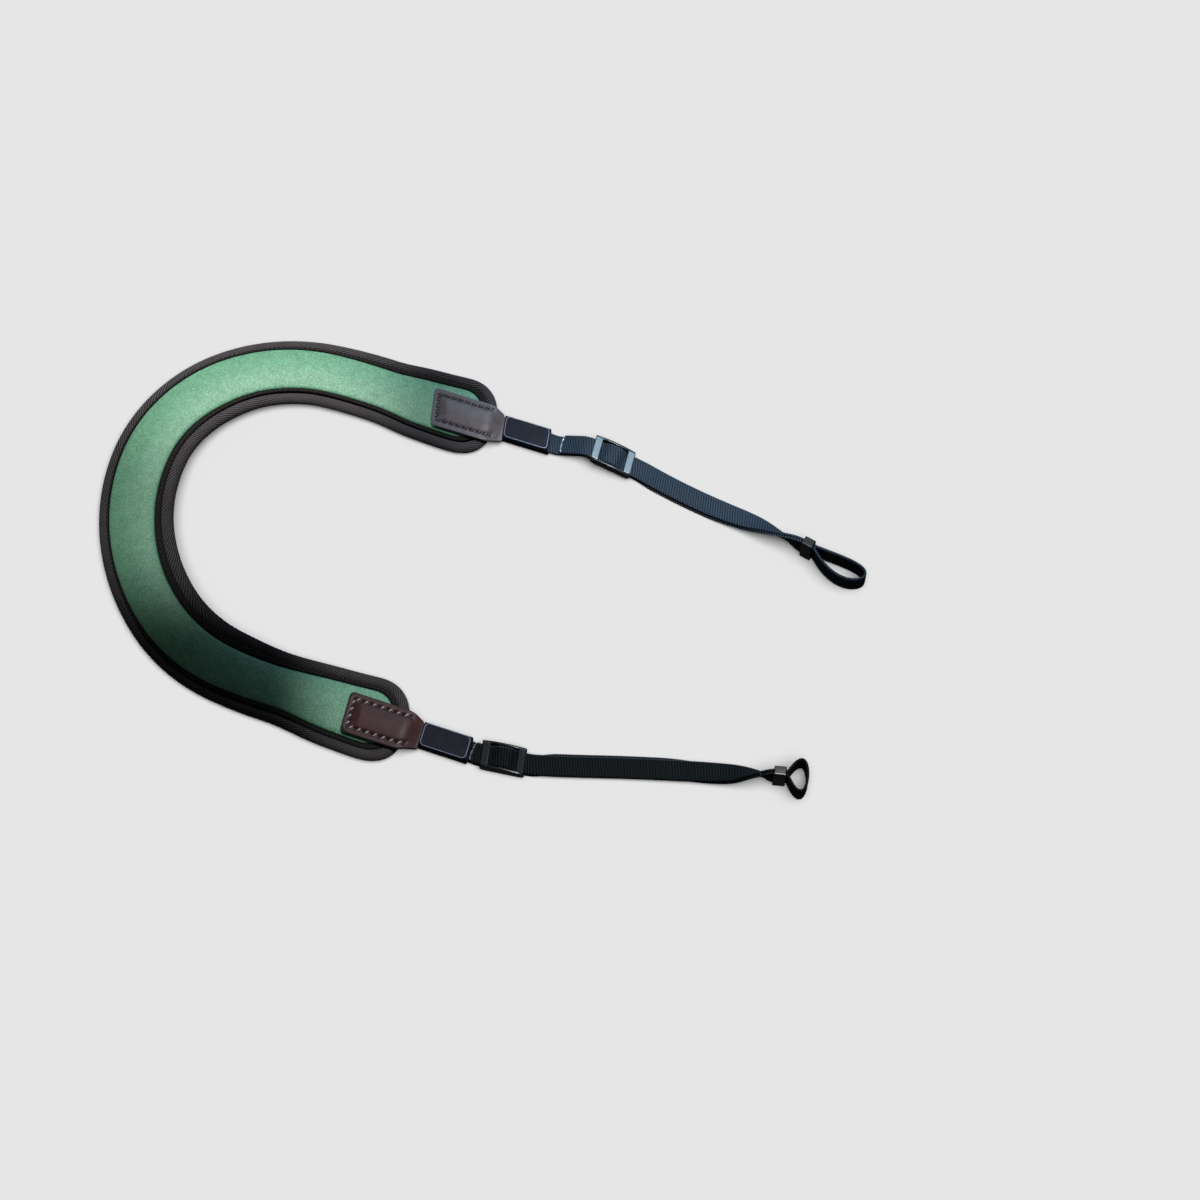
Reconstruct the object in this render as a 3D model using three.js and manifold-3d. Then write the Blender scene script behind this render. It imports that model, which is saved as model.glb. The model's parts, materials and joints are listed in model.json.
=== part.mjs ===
// A neck strap for binoculars, lying in a U on a flat surface: a padded neck band with a green
// facing and a bound edge, and at each end a stitched leather tab, a label sleeve and a 10 mm
// webbing that runs through a three-bar slide and a keeper into a lug loop and back.
//
// Millimetres and degrees. +Z is up, the floor is z = 0, and the origin is the middle of the
// strap's footprint. The band runs from the upper end (+Y) round the back (-X) to the lower end.

import * as THREE from "three";
import { mergeVertices } from "three/addons/utils/BufferGeometryUtils.js";
import Module from "manifold-3d";

const wasm = await Module();
wasm.setup();

// ---- Driving sizes ----

const GAP = 0.3; // left between pieces that touch on the real strap
const FLOOR_GAP = 0.1;

const ROLL_RADIUS = 2.5; // the padded roll of the edge binding
const LIP_WIDTH = 1.9; // the flat lip inside the roll
const LIP_THICK = 0.7;
const CORE_THICK = 3.3;
const FACING_THICK = 1;
const FACING_CROWN = 0.7;
const CAP_LENGTH = 20; // the rounded end of the pad
const CAP_FULLNESS = 2.4; // 2 would be an ellipse
const TIP_LEAN = 2; // both tips lie this far toward -Y of the band's middle line

// The pad's middle line as arcs: each row runs on for `run` and turns left by `turn`, and at its
// end the pad has this half width, leans by `tilt` with its inner edge up, and is domed by `arch`.
const PAD_START = { x: 6.1, y: 71.71, heading: 165, halfWidth: 20.3, tilt: 0, arch: 0 };
const PAD_ROWS = [
  { run: 36, turn: -5, halfWidth: 19, tilt: 0, arch: 0 },
  { run: 20, turn: -0.7, halfWidth: 17.2, tilt: 0.5, arch: 0.6 },
  { run: 26, turn: 7, halfWidth: 17.1, tilt: 2, arch: 1.4 },
  { run: 30, turn: 23, halfWidth: 17.8, tilt: 4, arch: 2 },
  { run: 34, turn: 29, halfWidth: 18.7, tilt: 6, arch: 2 },
  { run: 40, turn: 35.5, halfWidth: 18.6, tilt: 10, arch: 2 },
  { run: 42, turn: 26, halfWidth: 18, tilt: 14, arch: 2 },
  { run: 42, turn: 23.2, halfWidth: 17.5, tilt: 17, arch: 2 },
  { run: 40, turn: 30.4, halfWidth: 17, tilt: 14, arch: 2 },
  { run: 25, turn: 8, halfWidth: 16.6, tilt: 7, arch: 1 },
  { run: 26, turn: -1, halfWidth: 19, tilt: 0, arch: 0 },
  { run: 36, turn: 4.5, halfWidth: 20.3, tilt: 0, arch: 0 },
];

// The tabs are sewn on at a slight angle to the pad, each about a point this far in from its tip.
const TAB_PIVOT = 15;

// The leather tab along its own axis, measured from the pad's tip, outward positive. Its middle
// lies toward -Y of the arm's axis over the pad, and comes back to the axis in the neck.
const TAB_THICK = 1.6;
const TAB_CROWN = 0.6;
const TAB_CORNER = 2.3;
const TAB_START = -30.8;
const TAB_ROWS = [
  { at: TAB_START, halfWidth: 9.75, middle: -1.8 },
  { at: -16, halfWidth: 9.7, middle: -1.8 },
  { at: -1.5, halfWidth: 9.6, middle: -1.8 },
  { at: 0.3, halfWidth: 9.1, middle: -1.7 },
  { at: 2, halfWidth: 7.9, middle: -1.2 },
  { at: 3.3, halfWidth: 6.1, middle: -0.5 },
  { at: 4.1, halfWidth: 5, middle: 0 },
  { at: 15, halfWidth: 5, middle: 0 },
];
const TAB_LENGTHS = [-16, -9, -6.5, -4.5, -3, -1.5, -0.3, 1, 2, 3.3, 4.1, 15];
// How high its underside lies: on the facing, then down over the pad's tip into the sleeve.
const TAB_FLOORS = [
  { at: -3, floor: 6.1 },
  { at: -1, floor: 5.7 },
  { at: 0.5, floor: 4.6 },
  { at: 2, floor: 3.4 },
  { at: 3, floor: 2.8 },
  { at: 3.6, floor: 2.7 },
];

const SLEEVE = { start: 4.6, length: 22.7, width: 12, height: 5.4, corner: 1.6, bore: 10.6, boreHeight: 3.8 };

const WEB_WIDTH = 10;
const WEB_THICK = 1.1;
const WEB_START = 8.5; // how far from the pad's tip the webbing begins, inside the sleeve
const SLEEVE_LIFT = 1.1; // the webbing lies this much higher in the sleeve

const BUCKLE = { length: 20, width: 12.8, rail: 1.1, endBar: 3.8, midBar: 2.4, barThick: 2, rise: 0.8 };
const BUCKLE_CLIMB = 2.4; // how far the webbing climbs over the middle bar
const KEEPER = { length: 5.3, wall: 0.9, side: 0.35 };

// Each arm goes on from the pad's tip along the tab's axis. `twist` turns the webbing's inner
// side down. `tail` is where the sealed end lies, `stagger` shifts the lower layer sideways. `reach`
// is how much further out the tab and the sleeve lie than their tables say, and each `skew` is how
// far their ends slant from square.
const UPPER_ARM = {
  name: "upper",
  swing: -4.2,
  reach: 0,
  tabSkew: 0.27,
  sleeveSkew: 0.2,
  tail: 33.5,
  stagger: -0.6,
  loop: { length: 26, spread: 5.6, skew: 0.6 },
  buckleRow: 4,
  rows: [
    { run: 28, turn: 0, climb: 0, twist: 0 },
    { run: 3, turn: 5.6, climb: 18, twist: 0 },
    { run: 11, turn: 2, climb: 0, twist: 0 },
    { run: 6, turn: -11.4, climb: -28, twist: 0 },
    { run: BUCKLE.length, turn: 0, climb: 0, twist: 0 },
    { run: 8, turn: -10, climb: 10, twist: 0 },
    { run: 29, turn: 5.3, climb: 0, twist: 0 },
    { run: 20, turn: 2, climb: 0, twist: -12 },
    { run: 21, turn: -6, climb: 0, twist: -62 },
    { run: 11, turn: 0, climb: 0, twist: -90 },
    { run: 6, turn: 0, climb: 0, twist: -90 },
  ],
};
const LOWER_ARM = {
  name: "lower",
  swing: -4.2,
  reach: 2.4,
  tabSkew: 0.12,
  sleeveSkew: 0.08,
  tail: 30.8,
  stagger: 1.4,
  loop: { length: 8.8, spread: 9, skew: 0 },
  buckleRow: 2,
  rows: [
    { run: 32, turn: 0, climb: 0, twist: 0 },
    { run: 3, turn: 7, climb: 0, twist: 0 },
    { run: BUCKLE.length, turn: 0, climb: 0, twist: 0 },
    { run: 6, turn: 9, climb: 0, twist: 0 },
    { run: 24, turn: 2, climb: 0, twist: 0 },
    { run: 35, turn: -2.4, climb: 0, twist: -2 },
    { run: 23, turn: -1.5, climb: 0, twist: -17 },
    { run: 14, turn: -1, climb: 0, twist: -62 },
    { run: 7, turn: 0, climb: 0, twist: -90 },
    { run: 6, turn: 0, climb: 0, twist: -90 },
  ],
};

// ---- Materials ----

const finish = (color, roughness) => new THREE.MeshStandardMaterial({ color, roughness, metalness: 0 });
const FOAM = finish(0x1b1b1d, 0.9);
const JERSEY = finish(0x598c6e, 0.75);
const TWILL = finish(0x2c2b2e, 0.85);
const LEATHER = finish(0x4a3437, 0.5);
const SLEEVE_HIDE = finish(0x2b2d38, 0.45);
const WEBBING = finish(0x18202a, 0.8);
const PLASTIC = finish(0x14171c, 0.3);

// ---- Small helpers ----

const radians = THREE.MathUtils.degToRad;
const Z = new THREE.Vector3(0, 0, 1);

// Eases from 0 at `from` to 1 at `to`, whichever of the two is larger.
function ease(from, to, value) {
  const t = THREE.MathUtils.clamp((value - from) / (to - from), 0, 1);
  return t * t * (3 - 2 * t);
}

// Adds up the rows' runs, so that each row knows where it ends.
function withEnds(rows, first) {
  let at = 0;
  const ended = rows.map((row) => ({ ...row, at: (at += row.run) }));
  return [{ ...first, at: 0 }, ...ended];
}

// A smooth curve through one named column of a table whose rows are placed by `at`. It never
// runs past the values of the rows on either side.
function columnAt(rows, column, at) {
  const last = rows.length - 1;
  if (at <= rows[0].at) return rows[0][column];
  if (at >= rows[last].at) return rows[last][column];
  const i = rows.findIndex((row) => row.at >= at) - 1;
  const rate = (k) => (rows[k + 1][column] - rows[k][column]) / (rows[k + 1].at - rows[k].at);
  const slope = (k) => {
    if (k === 0 || k === last || rate(k - 1) * rate(k) <= 0) return 0;
    return 2 / (1 / rate(k - 1) + 1 / rate(k));
  };
  const span = rows[i + 1].at - rows[i].at;
  const t = (at - rows[i].at) / span;
  const bend = slope(i) * span * (t - 2 * t * t + t * t * t) + slope(i + 1) * span * (t * t * t - t * t);
  return THREE.MathUtils.lerp(rows[i][column], rows[i + 1][column], t * t * (3 - 2 * t)) + bend;
}

// A route of arcs in a plane, drawn from rows of `run` and of a bend named by `column`: its point
// and heading after the length `at`, straight past its last row.
function routeAt(rows, column, at) {
  let { x, y, heading } = rows[0];
  let left = at;
  const go = (length, bend) => {
    const half = radians(bend) / 2;
    const chord = half === 0 ? length : (length * Math.sin(half)) / half;
    x += chord * Math.cos(radians(heading) + half);
    y += chord * Math.sin(radians(heading) + half);
    heading += bend;
    left -= length;
  };
  for (const row of rows.slice(1)) {
    const length = Math.min(left, row.run);
    go(length, (row[column] * length) / row.run);
    if (left <= 0) return { x, y, heading };
  }
  go(left, 0);
  return { x, y, heading };
}

const planAt = (rows, at) => routeAt(rows, "turn", at);

// A solid through rings of points that run anticlockwise round the way from ring to ring.
// It has end caps, unless the rings close on themselves.
function loft(rings, closed = false) {
  const size = rings[0].length;
  const faces = [];
  const spans = closed ? rings.length : rings.length - 1;
  for (let i = 0; i < spans; i += 1) {
    const here = i * size;
    const next = ((i + 1) % rings.length) * size;
    for (let j = 0; j < size; j += 1) {
      const k = (j + 1) % size;
      faces.push(here + j, here + k, next + k, here + j, next + k, next + j);
    }
  }
  const end = (rings.length - 1) * size;
  for (let j = 1; !closed && j < size - 1; j += 1) {
    faces.push(0, j + 1, j, end, end + j, end + j + 1);
  }
  const geometry = new THREE.BufferGeometry().setFromPoints(rings.flat());
  geometry.setIndex(faces);
  geometry.computeVertexNormals();
  return geometry;
}

function piece(name, geometry, material) {
  const mesh = new THREE.Mesh(geometry, material);
  mesh.name = name;
  return mesh;
}

// ---- The pad ----

const PAD = withEnds(PAD_ROWS, PAD_START);
const PAD_LENGTH = PAD[PAD.length - 1].at;
const CORE_INSET = 2 * ROLL_RADIUS + GAP;
const LIP_END = 2 * ROLL_RADIUS + LIP_WIDTH;
const FACING_INSET = LIP_END + GAP;
const CORE_TOP = 1.2; // above the pad's middle plane
const LIP_FLOOR = CORE_TOP + GAP + 0.1;

// A point of the pad: `at` along it, `across` it toward the inside of the U, `rise` off its
// middle plane. The pad leans and domes there, and the roll on its outer edge meets the floor.
function padPoint(at, across, rise) {
  const { x, y, heading } = planAt(PAD, at);
  const halfWidth = columnAt(PAD, "halfWidth", at);
  const tilt = radians(columnAt(PAD, "tilt", at));
  const arch = columnAt(PAD, "arch", at);
  const reach = halfWidth - ROLL_RADIUS;
  const lift = rise + arch * Math.max(1 - (across / reach) ** 2, 0);
  const level = across * Math.cos(tilt) - lift * Math.sin(tilt);
  const height = ROLL_RADIUS + (reach + across) * Math.sin(tilt) + lift * Math.cos(tilt);
  const inward = radians(heading + 90);
  return new THREE.Vector3(x + level * Math.cos(inward), y + level * Math.sin(inward), height);
}

// The stations along the pad: an angle round each rounded end, a length between them.
const CAP_ANGLES = [0, 14, 28, 42, 56, 70, 83];
const BAND_STEP = 8.5;
const BAND_COUNT = Math.round((PAD_LENGTH - 2 * CAP_LENGTH) / BAND_STEP);
const STATIONS = [
  ...CAP_ANGLES.map((angle) => ({ end: 1, angle })),
  ...Array.from({ length: BAND_COUNT + 1 }, (_, i) => ({ share: i / BAND_COUNT })),
  ...CAP_ANGLES.map((angle) => ({ end: -1, angle })).reverse(),
];

// The pad's outline, drawn in by `inset`, at one station: where it lies, its half width, and how
// far it leans off the middle line.
function outlineAt({ end, angle, share }, inset) {
  if (end === undefined) {
    const at = CAP_LENGTH + share * (PAD_LENGTH - 2 * CAP_LENGTH);
    return { at, half: columnAt(PAD, "halfWidth", at) - inset, lean: 0 };
  }
  const power = 2 / CAP_FULLNESS;
  const reach = (CAP_LENGTH - inset) * (1 - Math.cos(radians(angle)) ** power);
  const at = end > 0 ? inset + reach : PAD_LENGTH - inset - reach;
  const half = (columnAt(PAD, "halfWidth", at) - inset) * Math.sin(radians(angle)) ** power;
  return { at, half, lean: end * TIP_LEAN * (1 - reach / (CAP_LENGTH - inset)) ** 2 };
}

// A slab inside the outline, one ring of (share of the half width, rise) points a station.
function padSlab(inset, section) {
  const inner = STATIONS.filter(({ angle }) => angle !== 0);
  return loft(
    inner.map((station) => {
      const { at, half, lean } = outlineAt(station, inset);
      return section.map(({ share, rise }) => padPoint(at, share * half + lean, rise));
    }),
  );
}

function padCore() {
  const floor = CORE_TOP - CORE_THICK;
  return padSlab(CORE_INSET, [
    { share: 1, rise: floor + 0.5 },
    { share: 1, rise: CORE_TOP - 0.5 },
    { share: 0.93, rise: CORE_TOP },
    { share: 0.5, rise: CORE_TOP },
    { share: 0, rise: CORE_TOP },
    { share: -0.5, rise: CORE_TOP },
    { share: -0.93, rise: CORE_TOP },
    { share: -1, rise: CORE_TOP - 0.5 },
    { share: -1, rise: floor + 0.5 },
    { share: -0.93, rise: floor },
    { share: 0, rise: floor },
    { share: 0.93, rise: floor },
  ]);
}

function facePanel() {
  const floor = LIP_FLOOR;
  const top = (share) => ({ share, rise: floor + FACING_THICK + FACING_CROWN * (1 - share * share) });
  return padSlab(FACING_INSET, [
    { share: 1, rise: floor },
    { share: 1, rise: floor + FACING_THICK / 2 },
    ...[0.9, 0.5, 0, -0.5, -0.9].map(top),
    { share: -1, rise: floor + FACING_THICK / 2 },
    { share: -1, rise: floor },
    { share: -0.5, rise: floor },
    { share: 0, rise: floor },
    { share: 0.5, rise: floor },
  ]);
}

// The binding's section, as insets from the outline and rises off the middle plane: the roll,
// then the lip that lies on the core's edge beside the facing.
const ROLL_ANGLES = [65, 105, 145, 185, 225, 265, 305, 340, 380];
const bindingSection = () => [
  ...ROLL_ANGLES.map((angle) => ({
    inset: ROLL_RADIUS * (1 + Math.cos(radians(angle))),
    rise: ROLL_RADIUS * Math.sin(radians(angle)),
  })),
  { inset: 2 * ROLL_RADIUS, rise: LIP_FLOOR },
  { inset: LIP_END, rise: LIP_FLOOR },
  { inset: LIP_END - 0.3, rise: LIP_FLOOR + LIP_THICK },
  { inset: 2 * ROLL_RADIUS + 0.4, rise: LIP_FLOOR + LIP_THICK },
  { inset: 2 * ROLL_RADIUS - 0.4, rise: LIP_FLOOR + LIP_THICK - 0.3 },
];

// The binding runs down the outer side of the pad, round the lower tip and back up the inner side.
function edgeBinding() {
  const section = bindingSection();
  const ring = (station, side) =>
    section.map(({ inset, rise }) => {
      const { at, half, lean } = outlineAt(station, inset);
      return padPoint(at, side * half + lean, rise);
    });
  const outer = STATIONS.map((station) => ring(station, -1));
  const inner = STATIONS.slice(1, -1).map((station) => ring(station, 1));
  return loft([...outer, ...inner.reverse()], true);
}

// ---- The leather tab and the label sleeve, along X from the pad's tip ----

const TAB_CORNER_ANGLES = [0, 30, 60, 90];

function leatherTab({ reach, tabSkew }) {
  const ring = (at, halfWidth) => {
    const middle = columnAt(TAB_ROWS, "middle", at);
    const point = (share, rise) => {
      const across = middle + share * halfWidth;
      const x = at - tabSkew * across;
      return new THREE.Vector3(x + reach, across, columnAt(TAB_FLOORS, "floor", x) + rise);
    };
    const top = (share) => point(share, TAB_THICK + TAB_CROWN * (1 - share * share) * ease(6, 0, at));
    return [
      ...[-1, -0.5, 0, 0.5, 1].map((share) => point(share, 0)),
      point(1, TAB_THICK * 0.6),
      ...[0.92, 0.5, 0, -0.5, -0.92].map(top),
      point(-1, TAB_THICK * 0.6),
    ];
  };
  const corner = TAB_CORNER_ANGLES.map((angle) => {
    const at = TAB_START + TAB_CORNER * (1 - Math.cos(radians(angle)));
    return ring(at, TAB_ROWS[0].halfWidth - TAB_CORNER * (1 - Math.sin(radians(angle))));
  });
  return loft([...corner, ...TAB_LENGTHS.map((at) => ring(at, columnAt(TAB_ROWS, "halfWidth", at)))]);
}

function roundedRectangle(path, width, height, corner) {
  const right = width / 2;
  const top = height / 2;
  path.moveTo(-right + corner, -top);
  path.lineTo(right - corner, -top);
  path.absarc(right - corner, -top + corner, corner, -Math.PI / 2, 0, false);
  path.lineTo(right, top - corner);
  path.absarc(right - corner, top - corner, corner, 0, Math.PI / 2, false);
  path.lineTo(-right + corner, top);
  path.absarc(-right + corner, top - corner, corner, Math.PI / 2, Math.PI, false);
  path.lineTo(-right, -top + corner);
  path.absarc(-right + corner, -top + corner, corner, Math.PI, 1.5 * Math.PI, false);
  return path;
}

// A tube of rounded rectangular section, centred on its own middle, its bore along X.
function rectangularTube({ length, width, height, corner, bore, boreHeight }) {
  const outline = roundedRectangle(new THREE.Shape(), width, height, corner);
  outline.holes.push(roundedRectangle(new THREE.Path(), bore, boreHeight, corner / 4));
  const tube = new THREE.ExtrudeGeometry(outline, { depth: length, bevelEnabled: false, curveSegments: 3 });
  tube.translate(0, 0, -length / 2);
  return tube.rotateX(Math.PI / 2).rotateZ(Math.PI / 2);
}

function labelSleeve({ reach, sleeveSkew }) {
  const sleeve = rectangularTube(SLEEVE);
  sleeve.applyMatrix4(new THREE.Matrix4().makeShear(0, 0, -sleeveSkew, 0, 0, 0));
  return sleeve.translate(SLEEVE.start + reach + SLEEVE.length / 2, 0, SLEEVE.height / 2);
}

// ---- The webbing of one arm ----

const LAYER_OFFSET = (WEB_THICK + GAP) / 2; // from the middle of the doubled webbing to a layer
const PAIR_HALF = WEB_THICK + GAP / 2;

// Adds to an arm what its rows imply: where the buckle starts and where the keeper ends.
function measured(arm) {
  const rows = withEnds(arm.rows, { x: 0, y: 0, heading: 0, twist: 0 });
  return {
    ...arm,
    rows,
    buckleStart: rows[arm.buckleRow].at,
    keeperEnd: rows[rows.length - 1].at,
  };
}

// How far the doubled webbing is lifted over the middle bar, 0 to 1.
function weaveAt(arm, at) {
  const fromBar = Math.abs(at - arm.buckleStart - BUCKLE.length / 2);
  const flat = 1.5;
  const ramp = 4.5;
  const share = THREE.MathUtils.clamp((fromBar - flat) / ramp, 0, 1);
  return 0.5 + 0.5 * Math.cos(Math.PI * share);
}

// The middle of the doubled webbing, high enough for its lower edge to clear the floor.
function middleAt(arm, at) {
  const { x, y } = planAt(arm.rows, at);
  const twist = radians(columnAt(arm.rows, "twist", at));
  const edge = (WEB_WIDTH / 2) * Math.abs(Math.sin(twist)) + PAIR_HALF * Math.abs(Math.cos(twist));
  const sleeveLift = SLEEVE_LIFT * ease(33 + arm.reach, 28 + arm.reach, at);
  const keeperLift = (KEEPER.wall + KEEPER.side) * ease(arm.keeperEnd - 22, arm.keeperEnd - 7, at);
  const height = FLOOR_GAP + edge + sleeveLift + keeperLift + routeAt(arm.rows, "climb", at).y;
  return new THREE.Vector3(x, y, height);
}

// The frame of the doubled webbing: along it, out of its side, and out of its upper face. Over
// the buckle's middle bar it climbs off its route.
function frameAt(arm, at) {
  const step = 0.25;
  const twist = radians(columnAt(arm.rows, "twist", at));
  const along = middleAt(arm, at + step).sub(middleAt(arm, at - step)).normalize();
  const side = new THREE.Vector3().crossVectors(Z, along).normalize().applyAxisAngle(along, twist);
  const face = new THREE.Vector3().crossVectors(along, side);
  return { middle: middleAt(arm, at), along, side, face };
}

function wovenFrameAt(arm, at) {
  const { middle, along, side, face } = frameAt(arm, at);
  const step = 0.25;
  const slope = (BUCKLE_CLIMB * (weaveAt(arm, at + step) - weaveAt(arm, at - step))) / (2 * step);
  const pitch = Math.atan(slope);
  const woven = face.clone().applyAxisAngle(side, -pitch);
  return { middle: middle.addScaledVector(face, BUCKLE_CLIMB * weaveAt(arm, at)), side, face: woven };
}

// Where one layer lies: the lower one (-1) staggered a little sideways between buckle and keeper.
function layerAt(arm, at, layer) {
  const { middle, side, face } = wovenFrameAt(arm, at);
  const buckleEnd = arm.buckleStart + BUCKLE.length;
  const free = ease(buckleEnd + 2, buckleEnd + 14, at) * ease(arm.keeperEnd - 30, arm.keeperEnd - 55, at);
  const shift = layer < 0 ? arm.stagger * free : 0;
  return { point: middle.addScaledVector(face, layer * LAYER_OFFSET).addScaledVector(side, shift), side, face };
}

// Steps close together where the webbing climbs over the bar or twists, and wider where it lies
// flat, each stretch divided evenly.
function lengthsAlong(arm, from, to) {
  const { buckleStart, keeperEnd } = arm;
  const stretches = [
    { until: 27, step: 9 },
    { until: 34, step: 2.4 },
    { until: buckleStart + 3.5, step: 5 },
    { until: buckleStart + BUCKLE.length - 3.5, step: 1 },
    { until: keeperEnd - 45, step: 7 },
    { until: keeperEnd - 6, step: 3 },
    { until: keeperEnd, step: 3 },
  ];
  const lengths = [from];
  for (const { until, step } of stretches.filter((stretch) => stretch.until > from)) {
    const start = lengths[lengths.length - 1];
    const span = Math.min(until, to) - start;
    const count = Math.ceil(span / step);
    for (let i = 1; i <= count; i += 1) lengths.push(start + (span * i) / count);
  }
  return lengths;
}

// The lug loop: a drop-shaped turn of the upright webbing from the lower layer to the upper one.
const LOOP_COUNT = 18;
function lugLoop(arm) {
  const { length, spread, skew } = arm.loop;
  const start = middleAt(arm, arm.keeperEnd);
  const way = radians(planAt(arm.rows, arm.keeperEnd).heading);
  const pointAt = (share) => {
    const round = Math.PI * share;
    const ahead = (length * (1 - Math.cos(2 * round))) / 2;
    const wide = spread * (1 + skew * Math.cos(round));
    const aside = -wide * Math.sin(2 * round) * Math.sin(round) - LAYER_OFFSET * Math.cos(round);
    const drop = (KEEPER.wall + KEEPER.side) * ease(0, 0.5, Math.min(share, 1 - share));
    return new THREE.Vector3(
      start.x + ahead * Math.cos(way) - aside * Math.sin(way),
      start.y + ahead * Math.sin(way) + aside * Math.cos(way),
      start.z - drop,
    );
  };
  return Array.from({ length: LOOP_COUNT - 1 }, (_, i) => {
    const share = (i + 1) / LOOP_COUNT;
    const along = pointAt(share + 0.01).sub(pointAt(share - 0.01)).setZ(0).normalize();
    const side = Z.clone().negate();
    return { point: pointAt(share), side, face: new THREE.Vector3().crossVectors(along, side) };
  });
}

// One webbing from the sleeve to the loop on the lower layer, and back on the upper one to the tail.
function webbing(arm) {
  const out = lengthsAlong(arm, WEB_START, arm.keeperEnd).map((at) => layerAt(arm, at, -1));
  const back = lengthsAlong(arm, arm.tail, arm.keeperEnd)
    .reverse()
    .map((at) => layerAt(arm, at, 1))
    .map(({ point, side, face }) => ({ point, side, face: face.negate() }));
  const ring = ({ point, side, face }) =>
    [
      { across: -1, up: -1 },
      { across: 1, up: -1 },
      { across: 1, up: 1 },
      { across: -1, up: 1 },
    ].map(({ across, up }) =>
      point
        .clone()
        .addScaledVector(side, (across * WEB_WIDTH) / 2)
        .addScaledVector(face, (up * WEB_THICK) / 2),
    );
  return loft([...out, ...lugLoop(arm), ...back].map(ring));
}

// ---- The buckle and the keeper ----

function toSolid(geometry) {
  geometry.deleteAttribute("normal");
  geometry.deleteAttribute("uv");
  const merged = mergeVertices(geometry);
  const mesh = new wasm.Mesh({
    numProp: 3,
    vertProperties: new Float32Array(merged.attributes.position.array),
    triVerts: new Uint32Array(merged.index.array),
  });
  return new wasm.Manifold(mesh);
}

function toGeometry(solid) {
  const { vertProperties, triVerts } = solid.getMesh();
  const geometry = new THREE.BufferGeometry();
  geometry.setAttribute("position", new THREE.BufferAttribute(vertProperties, 3));
  geometry.setIndex(new THREE.BufferAttribute(triVerts, 1));
  geometry.computeVertexNormals();
  return geometry;
}

// A bar across the buckle, its rounded section `length` long and `height` high.
function crossBar(length, height, corner) {
  const outline = roundedRectangle(new THREE.Shape(), length, height, corner);
  const span = BUCKLE.width - BUCKLE.rail;
  const bar = new THREE.ExtrudeGeometry(outline, { depth: span, bevelEnabled: false, curveSegments: 3 });
  return bar.translate(0, 0, -span / 2).rotateX(Math.PI / 2);
}

// A side rail: a strip that bows up toward the buckle's middle.
function sideRail(floor, top) {
  const half = BUCKLE.length / 2;
  const outline = new THREE.Shape();
  outline.moveTo(-half + 1, floor);
  outline.lineTo(half - 1, floor);
  outline.lineTo(half, floor + 1);
  outline.lineTo(half, top - 0.8);
  outline.quadraticCurveTo(0, top + 2 * BUCKLE.rise, -half, top - 0.8);
  outline.lineTo(-half, floor + 1);
  const rail = new THREE.ExtrudeGeometry(outline, { depth: BUCKLE.rail, bevelEnabled: false, curveSegments: 8 });
  return rail.translate(0, 0, -BUCKLE.rail / 2).rotateX(Math.PI / 2);
}

// The slide, with z = 0 at the middle of the doubled webbing under its end bars.
function threeBarSlide() {
  const endFloor = PAIR_HALF + GAP;
  const top = endFloor + BUCKLE.barThick;
  const midTop = BUCKLE_CLIMB - PAIR_HALF - GAP;
  const midThick = 1.5;
  const endAt = (BUCKLE.length - BUCKLE.endBar) / 2;
  const railAt = (BUCKLE.width - BUCKLE.rail) / 2;
  const bars = [
    crossBar(BUCKLE.endBar, BUCKLE.barThick, 0.7).translate(-endAt, 0, top - BUCKLE.barThick / 2),
    crossBar(BUCKLE.endBar, BUCKLE.barThick, 0.7).translate(endAt, 0, top - BUCKLE.barThick / 2),
    crossBar(BUCKLE.midBar, midThick, 0.5).translate(0, 0, midTop - midThick / 2),
  ];
  const rails = [-railAt, railAt].map((y) => sideRail(midTop - midThick - 0.2, top).translate(0, y, 0));
  const [first, ...others] = [...bars, ...rails].map(toSolid);
  return toGeometry(others.reduce((whole, part) => whole.add(part), first));
}

function keeperRing() {
  const bore = WEB_WIDTH + 2 * KEEPER.side;
  const boreHeight = 2 * PAIR_HALF + 2 * GAP;
  const width = bore + 2 * KEEPER.wall;
  const height = boreHeight + 2 * KEEPER.wall;
  return rectangularTube({ length: KEEPER.length, width, height, corner: 1, bore, boreHeight });
}

// ---- The arms put together ----

// Puts a piece on the doubled webbing, with its own X along it and its Z out of the upper face.
function seat(mesh, { middle, along, side, face }) {
  mesh.position.copy(middle);
  mesh.quaternion.setFromRotationMatrix(new THREE.Matrix4().makeBasis(along, side, face));
}

function armOf(arm, end) {
  const group = new THREE.Group();
  const way = radians(end.heading + arm.swing);
  const padWay = radians(end.heading);
  group.position.set(
    end.x + TAB_PIVOT * (Math.cos(way) - Math.cos(padWay)),
    end.y + TAB_PIVOT * (Math.sin(way) - Math.sin(padWay)),
    0,
  );
  group.rotation.z = way;

  const buckle = piece(`${arm.name}_buckle`, threeBarSlide(), PLASTIC);
  seat(buckle, frameAt(arm, arm.buckleStart + BUCKLE.length / 2));
  const keeper = piece(`${arm.name}_keeper`, keeperRing(), PLASTIC);
  seat(keeper, frameAt(arm, arm.keeperEnd - 0.8 - KEEPER.length / 2));

  return group.add(
    piece(`${arm.name}_tab`, leatherTab(arm), LEATHER),
    piece(`${arm.name}_sleeve`, labelSleeve(arm), SLEEVE_HIDE),
    piece(`${arm.name}_webbing`, webbing(arm), WEBBING),
    buckle,
    keeper,
  );
}

const upperEnd = { ...PAD_START, heading: PAD_START.heading + 180 };
const lowerEnd = planAt(PAD, PAD_LENGTH);

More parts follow.
